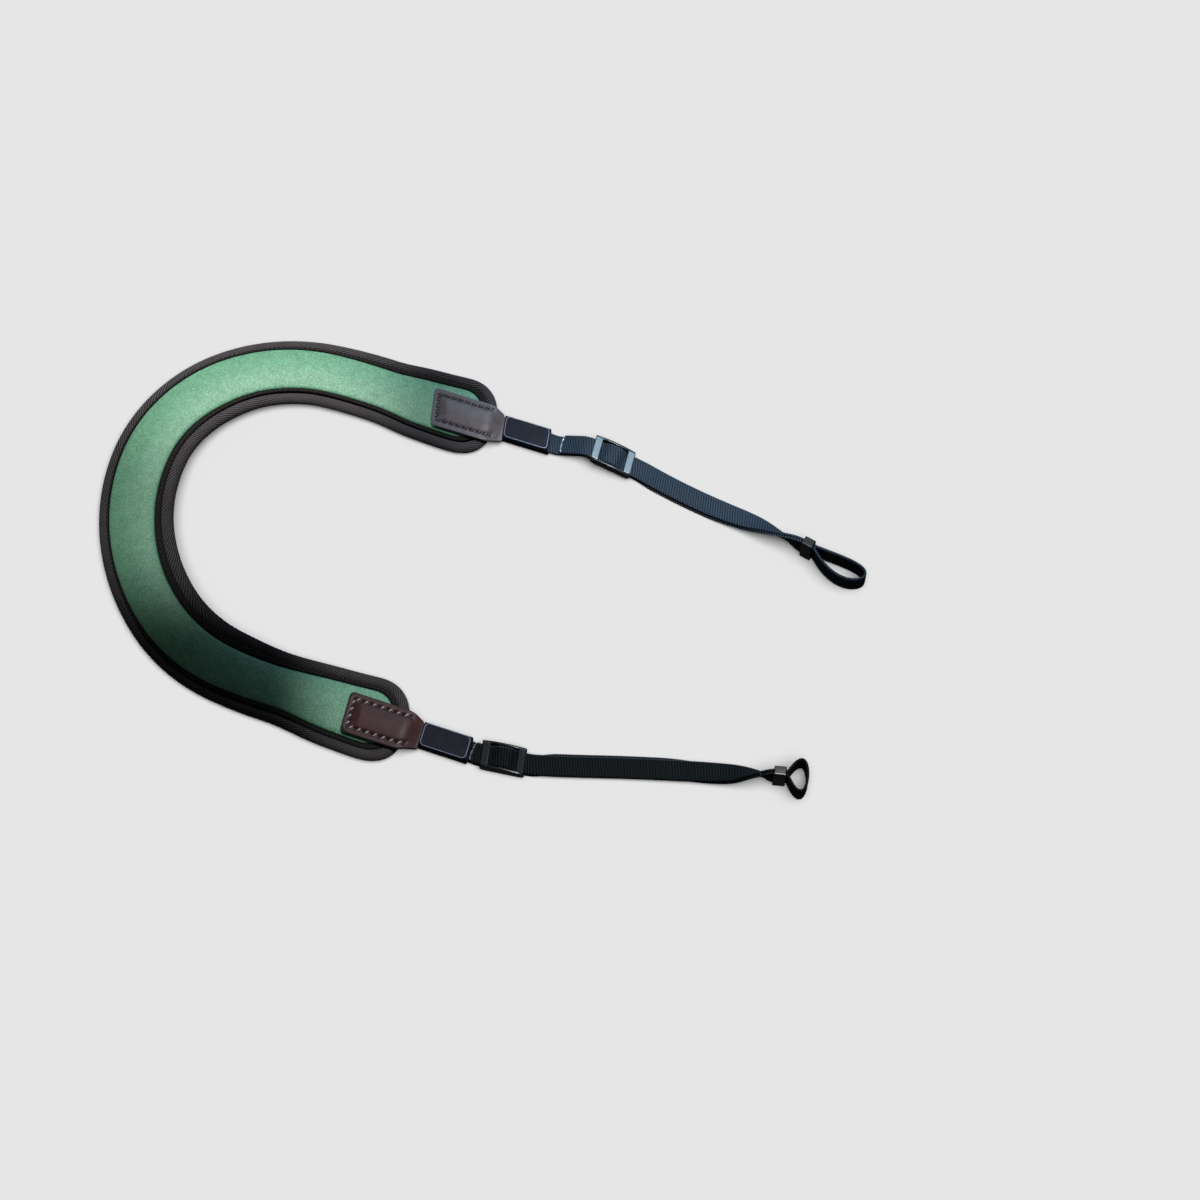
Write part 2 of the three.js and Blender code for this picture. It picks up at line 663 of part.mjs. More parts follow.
const strap = new THREE.Group();
strap.add(
  piece("pad_core", padCore(), FOAM),
  piece("face_panel", facePanel(), JERSEY),
  piece("edge_binding", edgeBinding(), TWILL),
  armOf(measured(UPPER_ARM), upperEnd),
  armOf(measured(LOWER_ARM), lowerEnd),
);

export default strap;
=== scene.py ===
"""A binocular neck strap laid in a U: a padded band faced in green jersey, its bound edge, and at
each end a stitched leather tab, a label sleeve, and webbing with its slide, keeper and lug loop."""

import functools
import json
from math import atan, copysign, cos, exp, hypot, inf, pi, radians, sin, sqrt

import bmesh
import bpy
from mathutils import Matrix, Quaternion, Vector

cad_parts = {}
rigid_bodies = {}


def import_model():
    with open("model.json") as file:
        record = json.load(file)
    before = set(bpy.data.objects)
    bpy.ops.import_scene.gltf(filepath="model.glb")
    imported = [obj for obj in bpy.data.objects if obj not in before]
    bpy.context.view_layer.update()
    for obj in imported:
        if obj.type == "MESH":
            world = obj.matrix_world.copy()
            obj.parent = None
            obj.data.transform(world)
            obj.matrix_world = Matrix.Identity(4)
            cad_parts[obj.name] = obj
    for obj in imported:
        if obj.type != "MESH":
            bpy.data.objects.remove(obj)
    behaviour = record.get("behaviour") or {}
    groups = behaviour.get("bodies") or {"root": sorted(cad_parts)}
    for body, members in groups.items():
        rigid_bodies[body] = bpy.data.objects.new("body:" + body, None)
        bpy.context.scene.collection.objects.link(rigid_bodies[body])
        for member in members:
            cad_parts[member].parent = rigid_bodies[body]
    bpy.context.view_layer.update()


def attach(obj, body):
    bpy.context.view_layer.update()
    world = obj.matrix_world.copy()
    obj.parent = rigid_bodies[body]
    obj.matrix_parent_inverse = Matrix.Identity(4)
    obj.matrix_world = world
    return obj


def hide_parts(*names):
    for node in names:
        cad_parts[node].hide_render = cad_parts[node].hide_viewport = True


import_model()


# ---- The camera ----
# It looks down at the strap from the side of its lower arm, 26 degrees off the vertical, with a
# long lens a little over a metre away.

AIM = Vector((0.0551, -0.0191, 0))
OFF_VERTICAL = radians(26)
DISTANCE = 1.15
LENS = 75.9


def in_scene(name, data):
    """A new object, linked to the scene."""
    made = bpy.data.objects.new(name, data)
    bpy.context.scene.collection.objects.link(made)
    return made


camera_data = bpy.data.cameras.new("camera")
camera_data.lens = LENS
camera_data.sensor_width = 36
camera = in_scene("camera", camera_data)
camera.location = AIM + DISTANCE * Vector((0, -sin(OFF_VERTICAL), cos(OFF_VERTICAL)))
camera.rotation_euler = (OFF_VERTICAL, 0, 0)
bpy.context.scene.camera = camera


# ---- The neck pad's core ----
# A band of black closed-cell foam with a smooth black backing, cut in a long curve with wider,
# rounded ends. It is sewn into the binding all round, so only its underside shows.

MM = 0.001
GAP = 0.3  # millimetres left between pieces that touch on the real strap


def table(columns, *rows):
    """Rows of values under named columns."""
    return [dict(zip(columns.split(), row)) for row in rows]


# The band's middle line as arcs, in millimetres and degrees: each row runs on for `run` and turns
# left by `turn`. At its end the band has this half width, leans by `tilt` and domes by `arch`.
PAD_START = {"at": 0, "x": 6.1, "y": 71.71, "heading": 165, "half": 20.3, "tilt": 0, "arch": 0}
PAD_ROWS = table(
    "run turn half tilt arch",
    (36, -5, 19, 0, 0),
    (20, -0.7, 17.2, 0.5, 0.6),
    (26, 7, 17.1, 2, 1.4),
    (30, 23, 17.8, 4, 2),
    (34, 29, 18.7, 6, 2),
    (40, 35.5, 18.6, 10, 2),
    (42, 26, 18, 14, 2),
    (42, 23.2, 17.5, 17, 2),
    (40, 30.4, 17, 14, 2),
    (25, 8, 16.6, 7, 1),
    (26, -1, 19, 0, 0),
    (36, 4.5, 20.3, 0, 0),
)
PAD_LENGTH = sum(row["run"] for row in PAD_ROWS)
ROLL_RADIUS = 2.5
CAP_LENGTH = 20  # the rounded ends
CAP_FULLNESS = 2.4  # 2 would be an ellipse
TIP_LEAN = 2  # how far both tips lie toward -Y of the middle line


def with_ends(rows, first):
    """The rows, each knowing how far along it ends, after the row they start from."""
    ended, at = [first], 0
    for row in rows:
        at += row["run"]
        ended.append({**row, "at": at})
    return ended


def column_at(rows, column, at):
    """A smooth curve through one column of a table, never past the values on either side."""
    if at <= rows[0]["at"]:
        return rows[0][column]
    if at >= rows[-1]["at"]:
        return rows[-1][column]
    i = next(k for k, row in enumerate(rows) if row["at"] >= at) - 1

    def rate(k):
        return (rows[k + 1][column] - rows[k][column]) / (rows[k + 1]["at"] - rows[k]["at"])

    def slope(k):
        if k in (0, len(rows) - 1) or rate(k - 1) * rate(k) <= 0:
            return 0
        return 2 / (1 / rate(k - 1) + 1 / rate(k))

    span = rows[i + 1]["at"] - rows[i]["at"]
    t = (at - rows[i]["at"]) / span
    bend = slope(i) * span * (t - 2 * t**2 + t**3) + slope(i + 1) * span * (t**3 - t**2)
    step = rows[i + 1][column] - rows[i][column]
    return rows[i][column] + step * t**2 * (3 - 2 * t) + bend


def route_at(rows, column, at):
    """The point and heading after the length `at` along a route of arcs, straight past its end."""
    x, y, heading, left = rows[0]["x"], rows[0]["y"], rows[0]["heading"], at
    for row in rows[1:] + [{"run": inf, column: 0}]:
        length = min(left, row["run"])
        bend = 0 if length == 0 or row["run"] == inf else row[column] * length / row["run"]
        half = radians(bend) / 2
        chord = length if half == 0 else length * sin(half) / half
        x += chord * cos(radians(heading) + half)
        y += chord * sin(radians(heading) + half)
        heading += bend
        left -= length
        if left <= 0:
            break
    return x, y, heading


PAD = with_ends(PAD_ROWS, PAD_START)


@functools.cache
def pad_lay(at):
    x, y, heading = route_at(PAD, "turn", at)
    half, tilt, arch = (column_at(PAD, column, at) for column in ("half", "tilt", "arch"))
    return x, y, radians(heading + 90), half, radians(tilt), arch


def pad_point(at, across, rise):
    """A point of the pad, in millimetres: `across` is toward the inside of the U, `rise` is off
    the middle plane. The pad leans on its outer edge, which lies on the floor."""
    x, y, inward, half, tilt, arch = pad_lay(at)
    reach = half - ROLL_RADIUS
    lift = rise + arch * max(1 - (across / reach) ** 2, 0)
    level = across * cos(tilt) - lift * sin(tilt)
    height = ROLL_RADIUS + (reach + across) * sin(tilt) + lift * cos(tilt)
    return Vector((x + level * cos(inward), y + level * sin(inward), height))


def pad_stations(cap_steps, band_step):
    """Places along the pad: angles round each rounded end, and lengths between the ends."""
    angles = [90 * k / cap_steps for k in range(cap_steps)]
    count = round((PAD_LENGTH - 2 * CAP_LENGTH) / band_step)
    band = [CAP_LENGTH + (PAD_LENGTH - 2 * CAP_LENGTH) * k / count for k in range(count + 1)]
    start = [{"end": 1, "angle": angle} for angle in angles]
    finish = [{"end": -1, "angle": angle} for angle in reversed(angles)]
    return start + [{"end": 0, "at": at} for at in band] + finish


def outline_at(station, inset):
    """How far along the pad's outline lies at a station, its half width, and its lean."""
    if station["end"] == 0:
        return station["at"], column_at(PAD, "half", station["at"]) - inset, 0
    power = 2 / CAP_FULLNESS
    angle = radians(station["angle"])
    reach = (CAP_LENGTH - inset) * (1 - cos(angle) ** power)
    at = inset + reach if station["end"] > 0 else PAD_LENGTH - inset - reach
    half = (column_at(PAD, "half", at) - inset) * sin(angle) ** power
    return at, half, station["end"] * TIP_LEAN * (1 - reach / (CAP_LENGTH - inset)) ** 2


def cloth_form(name, material, along, across, place):
    """A closed form wrapped from a grid of `along` by `across` faces, its ends filled in. For each
    corner, place(i, j) gives its point and its place in the weave, in millimetres, and sometimes a
    mark for the material or a sewn edge. The weave becomes the UV map, the mark an attribute."""
    mesh = bmesh.new()
    bmesh.ops.create_grid(mesh, x_segments=along, y_segments=across, size=1)
    weave = mesh.loops.layers.uv.new("weave")
    marks = mesh.verts.layers.float.new("mark")
    for vert in mesh.verts:
        i = round((vert.co.x + 1) / 2 * along)
        j = round((vert.co.y + 1) / 2 * across)
        point, thread, *mark = place(i, j)
        vert.co = point * MM
        vert[marks] = mark[0] if mark else 0
        for loop in vert.link_loops:
            loop[weave].uv = thread
    bmesh.ops.remove_doubles(mesh, verts=mesh.verts, dist=1e-7)
    bmesh.ops.holes_fill(mesh, edges=[edge for edge in mesh.edges if edge.is_boundary])
    bmesh.ops.recalc_face_normals(mesh, faces=mesh.faces)
    return settled(name, material, mesh)


def settled(name, material, mesh):
    """Turns a finished bmesh into a smooth-shaded object that rides on the strap."""
    data = bpy.data.meshes.new(name)
    mesh.to_mesh(data)
    mesh.free()
    data.shade_smooth()
    data.materials.append(material)
    piece = in_scene(name, data)
    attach(piece, "root")
    return piece


def shader_of(material):
    """The Principled shader that every finish here is made with."""
    return material.node_tree.nodes["Principled BSDF"]


def finish(name, color, roughness, **sockets):
    """A new material, with its shader's own sockets set."""
    material = bpy.data.materials.new(name)
    material.use_nodes = True
    shader = shader_of(material)
    shader.inputs["Base Color"].default_value = (*color, 1)
    shader.inputs["Roughness"].default_value = roughness
    for socket, value in sockets.items():
        shader.inputs[socket.replace("_", " ")].default_value = value
    return material


def node(material, kind, settings=(), **inputs):
    """Adds a node. An input is a value, or the output of another node."""
    tree = material.node_tree
    made = tree.nodes.new("ShaderNode" + kind)
    for setting, value in dict(settings).items():
        setattr(made, setting, value)
    for name, value in inputs.items():
        socket = made.inputs[name.replace("_", " ")]
        if isinstance(value, bpy.types.NodeSocket):
            tree.links.new(value, socket)
        else:
            socket.default_value = value
    return made


def weave_place(material, scale=(1, 1, 1)):
    """Where a point lies in the piece's own weave, in millimetres, and then scaled."""
    uv = node(material, "UVMap", {"uv_map": "weave"})
    return node(material, "Mapping", Vector=uv.outputs["UV"], Scale=scale).outputs["Vector"]


def noise(material, where, scale, detail=2.0, **inputs):
    """A cloudy mask, from 0 to 1."""
    made = node(material, "TexNoise", Vector=where, Scale=scale, Detail=detail, **inputs)
    return made.outputs["Fac"]


def mixed(material, share, first, second):
    """One mask with a share of another."""
    made = node(material, "Mix", {"data_type": "FLOAT"}, Factor=share, A=first, B=second)
    return made.outputs["Result"]


def mark_of(material):
    """The mark that cloth_form kept at each point."""
    return node(material, "Attribute", {"attribute_name": "mark"}).outputs["Fac"]


def between(material, mask, dark, light, full=0.7):
    """A colour that runs from dark, where a mask is 0.3, to light, where it is `full`."""
    ramp = node(material, "ValToRGB", Fac=mask)
    low, high = ramp.color_ramp.elements
    low.position, low.color = 0.3, (*dark, 1)
    high.position, high.color = full, (*light, 1)
    return ramp.outputs["Color"]


def colored(material, color):
    """Gives a material the colour that a node makes."""
    material.node_tree.links.new(color, shader_of(material).inputs["Base Color"])


def raised(material, height, depth, strength=1.0):
    """Raises a surface by a height from 0 to 1, `depth` millimetres deep."""
    bump = node(material, "Bump", Height=height, Distance=depth * MM, Strength=strength)
    material.node_tree.links.new(bump.outputs["Normal"], shader_of(material).inputs["Normal"])


foam = finish("foam", (0.011, 0.011, 0.012), 0.9)
pores = noise(foam, weave_place(foam), 2.4, 3.0)
colored(foam, between(foam, pores, (0.008, 0.008, 0.009), (0.018, 0.018, 0.02)))
raised(foam, pores, 0.15)

# The core's section, as shares of its half width and heights: a level top, eased edges and an
# underside that bellies down in the middle.
CORE_TOP = 1.2
CORE_FLOOR = -1.7
CORE_BELLY = 0.4
CORE_INSET = 2 * ROLL_RADIUS + GAP
CORE_EDGE = [(1, -1.5), (1, 0.7), (0.97, 1.1)]
top_shares = [k / 4 for k in (3.7, 3, 2, 1, 0, -1, -2, -3, -3.7)]
under_shares = [k / 4 for k in (-3.8, -3, -2, -1, 0, 1, 2, 3, 3.8)]
core_ring = CORE_EDGE + [(share, CORE_TOP) for share in top_shares]
core_ring += [(-share, rise) for share, rise in reversed(CORE_EDGE)]
core_ring += [(share, CORE_FLOOR - CORE_BELLY * (1 - share**2)) for share in under_shares]
core_ring.append(core_ring[0])
slab_stations = [station for station in pad_stations(9, 4) if station.get("angle") != 0]


def core_place(i, j):
    at, half, lean = outline_at(slab_stations[i], CORE_INSET)
    share, rise = core_ring[j]
    return pad_point(at, share * half + lean, rise), (at, share * half)


core = cloth_form("foam_core", foam, len(slab_stations) - 1, len(core_ring) - 1, core_place)
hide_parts("pad_core")


# ---- The green facing ----
# Brushed green jersey over a thin layer of foam, cut to lie inside the binding and sewn down
# along its edge, so that it stands in a low crown along the middle of the band.

# How much of the binding's flat lip shows beside the facing, on the band's outer and inner sides.
LIP_ROWS = table(
    "at outer inner",
    (0, 1.9, 1.9),
    (55, 1.8, 1.7),
    (95, 1.1, 1.4),
    (130, 0.9, 1.7),
    (165, 0.7, 2.3),
    (215, 0.6, 2.6),
    (260, 0.7, 3.4),
    (310, 1.3, 3.4),
    (345, 1.8, 2.2),
    (PAD_LENGTH, 1.9, 1.9),
)
LIP_FLOOR = CORE_TOP + 0.4
FACING_THICK = 1
FACING_CROWN = 0.7
FACING_SQUARENESS = 12  # how sharply its edge turns down
FACING_INSET = 7.2
# The tabs are sewn through the pad over this much of its ends, so the facing stays flat there.
UNDER_TAB = 34
FREE_SHARE = 0.9  # of its half width, inside the seam


def side_inset(side, at):
    """How far in from the outline the lip ends on one side of the band, -1 outer or 1 inner."""
    return 2 * ROLL_RADIUS + column_at(LIP_ROWS, "outer" if side < 0 else "inner", at)


def facing_top(share):
    """The height of the facing's upper face, at a share of its half width."""
    edge = sqrt(max(1 - abs(share) ** FACING_SQUARENESS, 0))
    return LIP_FLOOR + FACING_THICK * edge + FACING_CROWN * (1 - share**2)


edge_shares = [1, 0.99, 0.97, 0.93, 0.87]
crown_shares = edge_shares + [k / 10 for k in range(8, -9, -1)]
crown_shares += [-share for share in reversed(edge_shares)]
facing_ring = [(share, facing_top(share)) for share in crown_shares]
facing_ring += [(share, LIP_FLOOR) for share in (-0.7, -0.3, 0.3, 0.7)]
facing_ring.append(facing_ring[0])
facing_stations = [station for station in pad_stations(12, 2.5) if station.get("angle") != 0]


def facing_place(i, j):
    station = facing_stations[i]
    share, rise = facing_ring[j]
    at, _, lean = outline_at(station, FACING_INSET)
    half = outline_at(station, side_inset(copysign(1, share), at) + GAP)[1]
    on_top = abs(share) < FREE_SHARE and rise > LIP_FLOOR
    free = on_top and UNDER_TAB < at < PAD_LENGTH - UNDER_TAB
    return pad_point(at, share * half + lean, rise), (at, share * half), 0 if free else 1


FOAM_PRESSURE = 400
CLOTH_MASS = 0.001
CLOTH_STEPS = 20
MOST_MOVE = 0.5


def filled_out(piece):
    """Lets the foam push the fabric out where its mark is 0, by a short cloth simulation, and by
    MOST_MOVE at most."""
    sewn = piece.vertex_groups.new(name="sewn")
    marks = piece.data.attributes["mark"].data
    sewn.add([k for k, mark in enumerate(marks) if mark.value > 0.5], 1, "REPLACE")
    cloth = piece.modifiers.new("cloth", "CLOTH")
    cloth.settings.vertex_group_mass = sewn.name
    cloth.settings.mass = CLOTH_MASS
    cloth.settings.use_pressure = True
    cloth.settings.uniform_pressure_force = FOAM_PRESSURE
    cloth.settings.effector_weights.gravity = 0
    for step in range(1, CLOTH_STEPS + 1):
        bpy.context.scene.frame_set(step)
    shape = piece.evaluated_get(bpy.context.evaluated_depsgraph_get()).to_mesh()
    moves = [there.co - here.co for here, there in zip(piece.data.vertices, shape.vertices)]
    piece.modifiers.remove(cloth)
    piece.vertex_groups.remove(sewn)
    bpy.context.scene.frame_set(1)
    for vert, move in zip(piece.data.vertices, moves):
        vert.co += move * min(1, MOST_MOVE * MM / max(move.length, 1e-9))


jersey = finish(
    "jersey", (0.1, 0.262, 0.156), 0.5, Sheen_Weight=0.15, Sheen_Roughness=0.4,
    Sheen_Tint=(0.7, 0.95, 0.85, 1), Specular_IOR_Level=0.5,
)
loops = node(jersey, "TexVoronoi", Vector=weave_place(jersey, (2.2, 1.3, 1)), Scale=1.0)
nap = noise(jersey, weave_place(jersey, (1.8, 0.4, 1)), 1.2, 3.0, Roughness=0.7)
mottle = noise(jersey, weave_place(jersey), 0.2, 3.0)
speckle = mixed(jersey, 0.5, nap, loops.outputs["Distance"])
tone = mixed(jersey, 0.25, speckle, mottle)
colored(jersey, between(jersey, tone, (0.05, 0.16, 0.092), (0.16, 0.37, 0.235)))
raised(jersey, speckle, 0.3, 0.8)

facing = cloth_form(
    "green_facing", jersey, len(facing_stations) - 1, len(facing_ring) - 1, facing_place
)
filled_out(facing)
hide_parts("face_panel")


# ---- The edge binding ----
# One long strip of charcoal twill, cut on the bias and rolled round a soft filler. Its flat lip
# lies on the core's edge, and one row of stitches through the lip holds everything together.

ROLL_STEP = 1.3
RIBS_ROUND = 13
RIB_FACES = 5  # faces across one rib
RIB_HEIGHT = 0.3
RIB_SHARPNESS = 1.2
RIB_TURN = 28.6  # how far along the roll the ribs wind once round it

# How far the roll spreads over the lip: 1 where it is round.
SPREAD_ROWS = table(
    "at outer inner",
    (0, 1, 1),
    (90, 1.1, 1),
    (150, 1.15, 1.5),
    (200, 1.15, 2),
    (260, 1.1, 2),
    (315, 1, 1.3),
    (PAD_LENGTH, 1, 1),
)


def binding_ways(cap_steps, band_step):
    """The stations all round the pad, down its outer side and back up its inner one."""
    stations = pad_stations(cap_steps, band_step)
    down = [(station, -1) for station in stations]
    return down + [(station, 1) for station in reversed(stations[1:-1])]


def beside_edge(station, side, inset, rise):
    """A point of the binding, by how far in from the outline and how far up it lies."""
    at, half, lean = outline_at(station, inset)
    return pad_point(at, side * half + lean, rise)


def evenly(frames, step, closed=False):
    """Resamples frames, lists of points with the place first, at even steps along the way."""
    frames = frames + [frames[0]] if closed else frames
    lengths = [0]
    for here, there in zip(frames, frames[1:]):
        lengths.append(lengths[-1] + (there[0] - here[0]).length)
    count = round(lengths[-1] / step)
    even, k = [], 0
    for i in range(count + 1):
        at = lengths[-1] * i / count
        while k < len(lengths) - 2 and lengths[k + 1] < at:
            k += 1
        t = (at - lengths[k]) / (lengths[k + 1] - lengths[k])
        even.append((at, [a.lerp(b, t) for a, b in zip(frames[k], frames[k + 1])]))
    return even


def roll_frame(station, side):
    """The roll's middle at a station, its ways outward and upward, and how far it spreads."""
    at = outline_at(station, ROLL_RADIUS)[0]
    middle = beside_edge(station, side, ROLL_RADIUS, 0)
    outward = beside_edge(station, side, 0, 0) - middle
    upward = beside_edge(station, side, ROLL_RADIUS, ROLL_RADIUS) - middle
    spread = column_at(SPREAD_ROWS, "outer" if side < 0 else "inner", at)
    return [middle, outward, upward, Vector((spread, 0, 0))]


roll_frames = evenly([roll_frame(*way) for way in binding_ways(30, 1.5)], ROLL_STEP, closed=True)
roll_length = roll_frames[-1][0]
roll_around = RIBS_ROUND * RIB_FACES


def roll_place(i, j):
    """The grid itself is wound round the roll, one way down the outer side of the pad and the
    other way up the inner one, so that its lines follow the slanting ribs."""
    at, (middle, outward, upward, spread) = roll_frames[i % (len(roll_frames) - 1)]
    wound = (roll_length / 2 - abs(at - roll_length / 2)) / RIB_TURN
    angle = 2 * pi * (j / roll_around + wound)
    rib = abs(sin(pi * j / RIB_FACES)) ** RIB_SHARPNESS
    swell = 1 - RIB_HEIGHT / ROLL_RADIUS * (1 - rib)
    across = cos(angle) * (spread.x if cos(angle) < 0 else 1)
    point = middle + swell * (across * outward + sin(angle) * upward)
    return point, (at, j / RIB_FACES), rib


twill = finish(
    "twill", (0.02, 0.019, 0.02), 0.75, Sheen_Weight=0.05, Sheen_Roughness=0.5,
    Sheen_Tint=(0.75, 0.7, 0.75, 1), Specular_IOR_Level=0.15,
)
threads = noise(twill, weave_place(twill, (0.35, 4, 1)), 1.0, 3.0)
fade = noise(twill, weave_place(twill, (0.12, 0.3, 1)), 1.0)
# The rib mark takes the grooves between the ribs nearly to black and the crests paler: painted
# shade. The threads and the fade are the cloth's own tone.
groove_shade_and_fade = mixed(twill, 0.2, mixed(twill, 0.25, mark_of(twill), threads), fade)
colored(twill, between(twill, groove_shade_and_fade, (0.0005, 0.0005, 0.0005), (0.066, 0.059, 0.063)))
raised(twill, threads, 0.1, 0.7)
roll = cloth_form("binding_roll", twill, len(roll_frames) - 1, roll_around, roll_place)

LIP_THICK = 0.7
LIP_STEP = 1.2
LIP_ROUND = 12  # faces round the lip
LIP_GIRTH = 5
LIP_FULLNESS = 0.97
LIP_SQUARENESS = 0.7  # 1 would be an ellipse
# Along the outer side of the pad the lip also tucks a little way under the roll.
LIP_TUCK = 0.45
SEAM_PITCH = 2.4
SEAM_RADIUS = 0.2
SEAM_RISE = 0.9  # a share of the way up from the lip's middle
SEAM_DIP = 0.1  # the share of a stitch that is down in the cloth at either end


def lip_frame(station, side):
    """The lip's middle at a station, and its ways outward and upward."""
    at = outline_at(station, 2 * ROLL_RADIUS + 1)[0]
    reach = 2 * ROLL_RADIUS - (LIP_TUCK if side < 0 else 0)
    inset = (reach + side_inset(side, at)) / 2
    rise = LIP_FLOOR + LIP_THICK / 2
    middle = beside_edge(station, side, inset, rise)
    outward = beside_edge(station, side, reach, rise) - middle
    upward = beside_edge(station, side, inset, LIP_FLOOR + LIP_THICK) - middle
    return [middle, outward, upward]


lip_route = [lip_frame(*way) for way in binding_ways(20, 2)]
lip_frames = evenly(lip_route, LIP_STEP, closed=True)


def lip_place(i, j):
    at, (middle, outward, upward) = lip_frames[i % (len(lip_frames) - 1)]
    angle = 2 * pi * j / LIP_ROUND
    level = copysign(abs(cos(angle)) ** LIP_SQUARENESS, cos(angle))
    point = middle + LIP_FULLNESS * level * outward + sin(angle) * upward
    return point, (at, LIP_GIRTH * j / LIP_ROUND)


# The lip is the roll's own twill coloured far darker: painted shade in the groove between the roll
# and the facing.
painted_edge_shading = finish(
    "painted_edge_shading", (0.01, 0.008, 0.008), 0.75, Sheen_Weight=0.05, Specular_IOR_Level=0.15
)
cords = node(
    painted_edge_shading, "TexWave", {"wave_type": "BANDS", "bands_direction": "DIAGONAL"},
    Vector=weave_place(painted_edge_shading), Scale=0.5, Distortion=1.0,
).outputs["Fac"]
colored(painted_edge_shading, between(painted_edge_shading, cords, (0.002, 0.0015, 0.0015), (0.01, 0.0085, 0.0085)))
raised(painted_edge_shading, cords, 0.08)
lip = cloth_form("binding_lip", painted_edge_shading, len(lip_frames) - 1, LIP_ROUND, lip_place)


def stitch(mesh, start, end, radius, up):
    """One stitch: a short thread, thick in its middle, that dips into the cloth at both ends."""
    along = (end - start).normalized()
    side = up.cross(along).normalized()
    turn = Matrix((along, side, along.cross(side))).transposed()
    size = Matrix.Diagonal(((end - start).length, 2 * radius, 2 * radius))
    for vert in bmesh.ops.create_icosphere(mesh, subdivisions=1, radius=0.5)["verts"]:
        vert.co = ((start + end) / 2 + turn @ size @ vert.co) * MM


seam = bmesh.new()
seam_frames = evenly(lip_route, SEAM_PITCH, closed=True)
for (_, here), (_, there) in zip(seam_frames, seam_frames[1:]):
    start, end = (middle + SEAM_RISE * upward for middle, _, upward in (here, there))
    ends = (start.lerp(end, share) for share in (SEAM_DIP, 1 - SEAM_DIP))
    stitch(seam, *ends, SEAM_RADIUS, here[2])
black_thread = finish("black_thread", (0.012, 0.01, 0.011), 0.6)
seam_thread = settled("seam_stitches", black_thread, seam)

for piece in (roll, lip, seam_thread):
    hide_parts("edge_binding")


# ---- The leather tabs ----
# A tongue of thick smooth leather over each tip of the pad. It is saddle-stitched through the pad
# along three sides, which leaves its middle puffed up, and its neck runs into the label sleeve.

TAB_PIVOT = 15  # in from the pad's tip
ARM_SWING = -4.2


def arm_place(x, y, heading):
    """Where an arm lies: its X runs out from the pad's tip. It swings about a point on the pad."""
    way, pad_way = radians(heading + ARM_SWING), radians(heading)
    x += TAB_PIVOT * (cos(way) - cos(pad_way))
    y += TAB_PIVOT * (sin(way) - sin(pad_way))
    return Matrix.Translation((x, y, 0)) @ Matrix.Rotation(way, 4, "Z")


ARM_PLACES = {
    "upper": arm_place(PAD_START["x"], PAD_START["y"], PAD_START["heading"] + 180),
    "lower": arm_place(*route_at(PAD, "turn", PAD_LENGTH)),
}
# The tab's middle lies toward -Y of the arm's axis over the pad, and back on it in the neck.
TAB_ROWS = table(
    "at half middle",
    (-30.8, 9.75, -1.8),
    (-16, 9.7, -1.8),
    (-6, 9.6, -1.8),
    (-3.5, 9.35, -1.55),
    (-1.5, 8.85, -1.15),
    (0.3, 8.25, -0.9),
    (2, 7.5, -0.8),
    (3.3, 6.95, -0.8),
    (4.1, 6.7, -0.75),
    (4.4, 5, 0),
    (15, 5, 0),
)
TAB_FLOORS = table(
    "at floor",
    (-5, 6.1),
    (-3, 6.0),
    (-1, 5.55),
    (0.5, 4.9),
    (2, 4.15),
    (3.4, 3.45),
    (4.5, 2.95),
    (6, 2.7),
)
# How much further out each arm's tab and sleeve lie, how far their ends slant from square, and
# the stitches along each side of the tab.
TAB_CUTS = {
    "upper": {"reach": 0, "skew": 0.27, "sleeve_skew": 0.2, "stitches": 8},
    "lower": {"reach": 2.4, "skew": 0.12, "sleeve_skew": 0.08, "stitches": 7},
}
TAB_START = TAB_ROWS[0]["at"]
TAB_END = TAB_ROWS[-1]["at"]
TAB_HALF = TAB_ROWS[0]["half"]
TAB_CORNER = 2.3
TAB_THICK = 1.4
TAB_MESH = 0.33
EDGE_ROUND = 0.6
EDGE_DROP = 0.45
# The sewn line, pressed into the leather.
SEAM_INSET = 3.1
SEAM_START = TAB_START + 2.6
SEAM_END = -1.5
TRENCH_DEPTH = 0.3
TRENCH_WIDTH = 0.7
TRENCH_FADE = 3
# How high the middle puffs up, over what length, and the share that it loses toward the neck.
PUFF = 1
PUFF_RUN = 5
PUFF_LOSS = 0.8
NECK_RUN = 4
# The stitches slant through slits in the leather.
SLIT = Vector((cos(radians(48)), sin(radians(48))))
SLIT_LONG = 0.95
SLIT_WIDE = 0.45
SLIT_DEPTH = 0.55
STITCH_REACH = 1.35
STITCH_RISE = 1.35
STITCH_RADIUS = 0.4


def ease(start, end, value):
    """0 at the start, 1 at the end, and smooth between them."""
    t = min(max((value - start) / (end - start), 0), 1)
    return t * t * (3 - 2 * t)


def tab_inset(at, across):
    """How far a point of the tab lies in from its edge. Its lines turn the corners widely."""
    side = column_at(TAB_ROWS, "half", at) - abs(across)
    end = at - TAB_START
    corner = TAB_CORNER + 1.5
    if side < corner and end < corner:
        return corner - hypot(corner - side, corner - end)
    return min(side, end)


def seam_holes(stitches):
    """The stitch holes round the tab's three sewn sides, before it is skewed."""
    half = TAB_HALF - SEAM_INSET
    rows = [SEAM_START + k * (SEAM_END - SEAM_START) / stitches for k in range(stitches + 1)]
    near = [Vector((at, -half)) for at in reversed(rows)]
    end = [Vector((SEAM_START, half * k / 2)) for k in (-1, 0, 1)]
    return near + end + [Vector((at, half)) for at in rows]


def hole_depth(holes, at, across):
    """1 in the middle of a stitch hole, 0 away from them all."""
    depth = 0
    for hole in holes:
        offset = Vector((at, across)) - hole
        if offset.length < 2:
            long, wide = offset.dot(SLIT), offset.x * SLIT.y - offset.y * SLIT.x
            depth = max(depth, exp(-((long / SLIT_LONG) ** 2) - (wide / SLIT_WIDE) ** 2))
    return depth


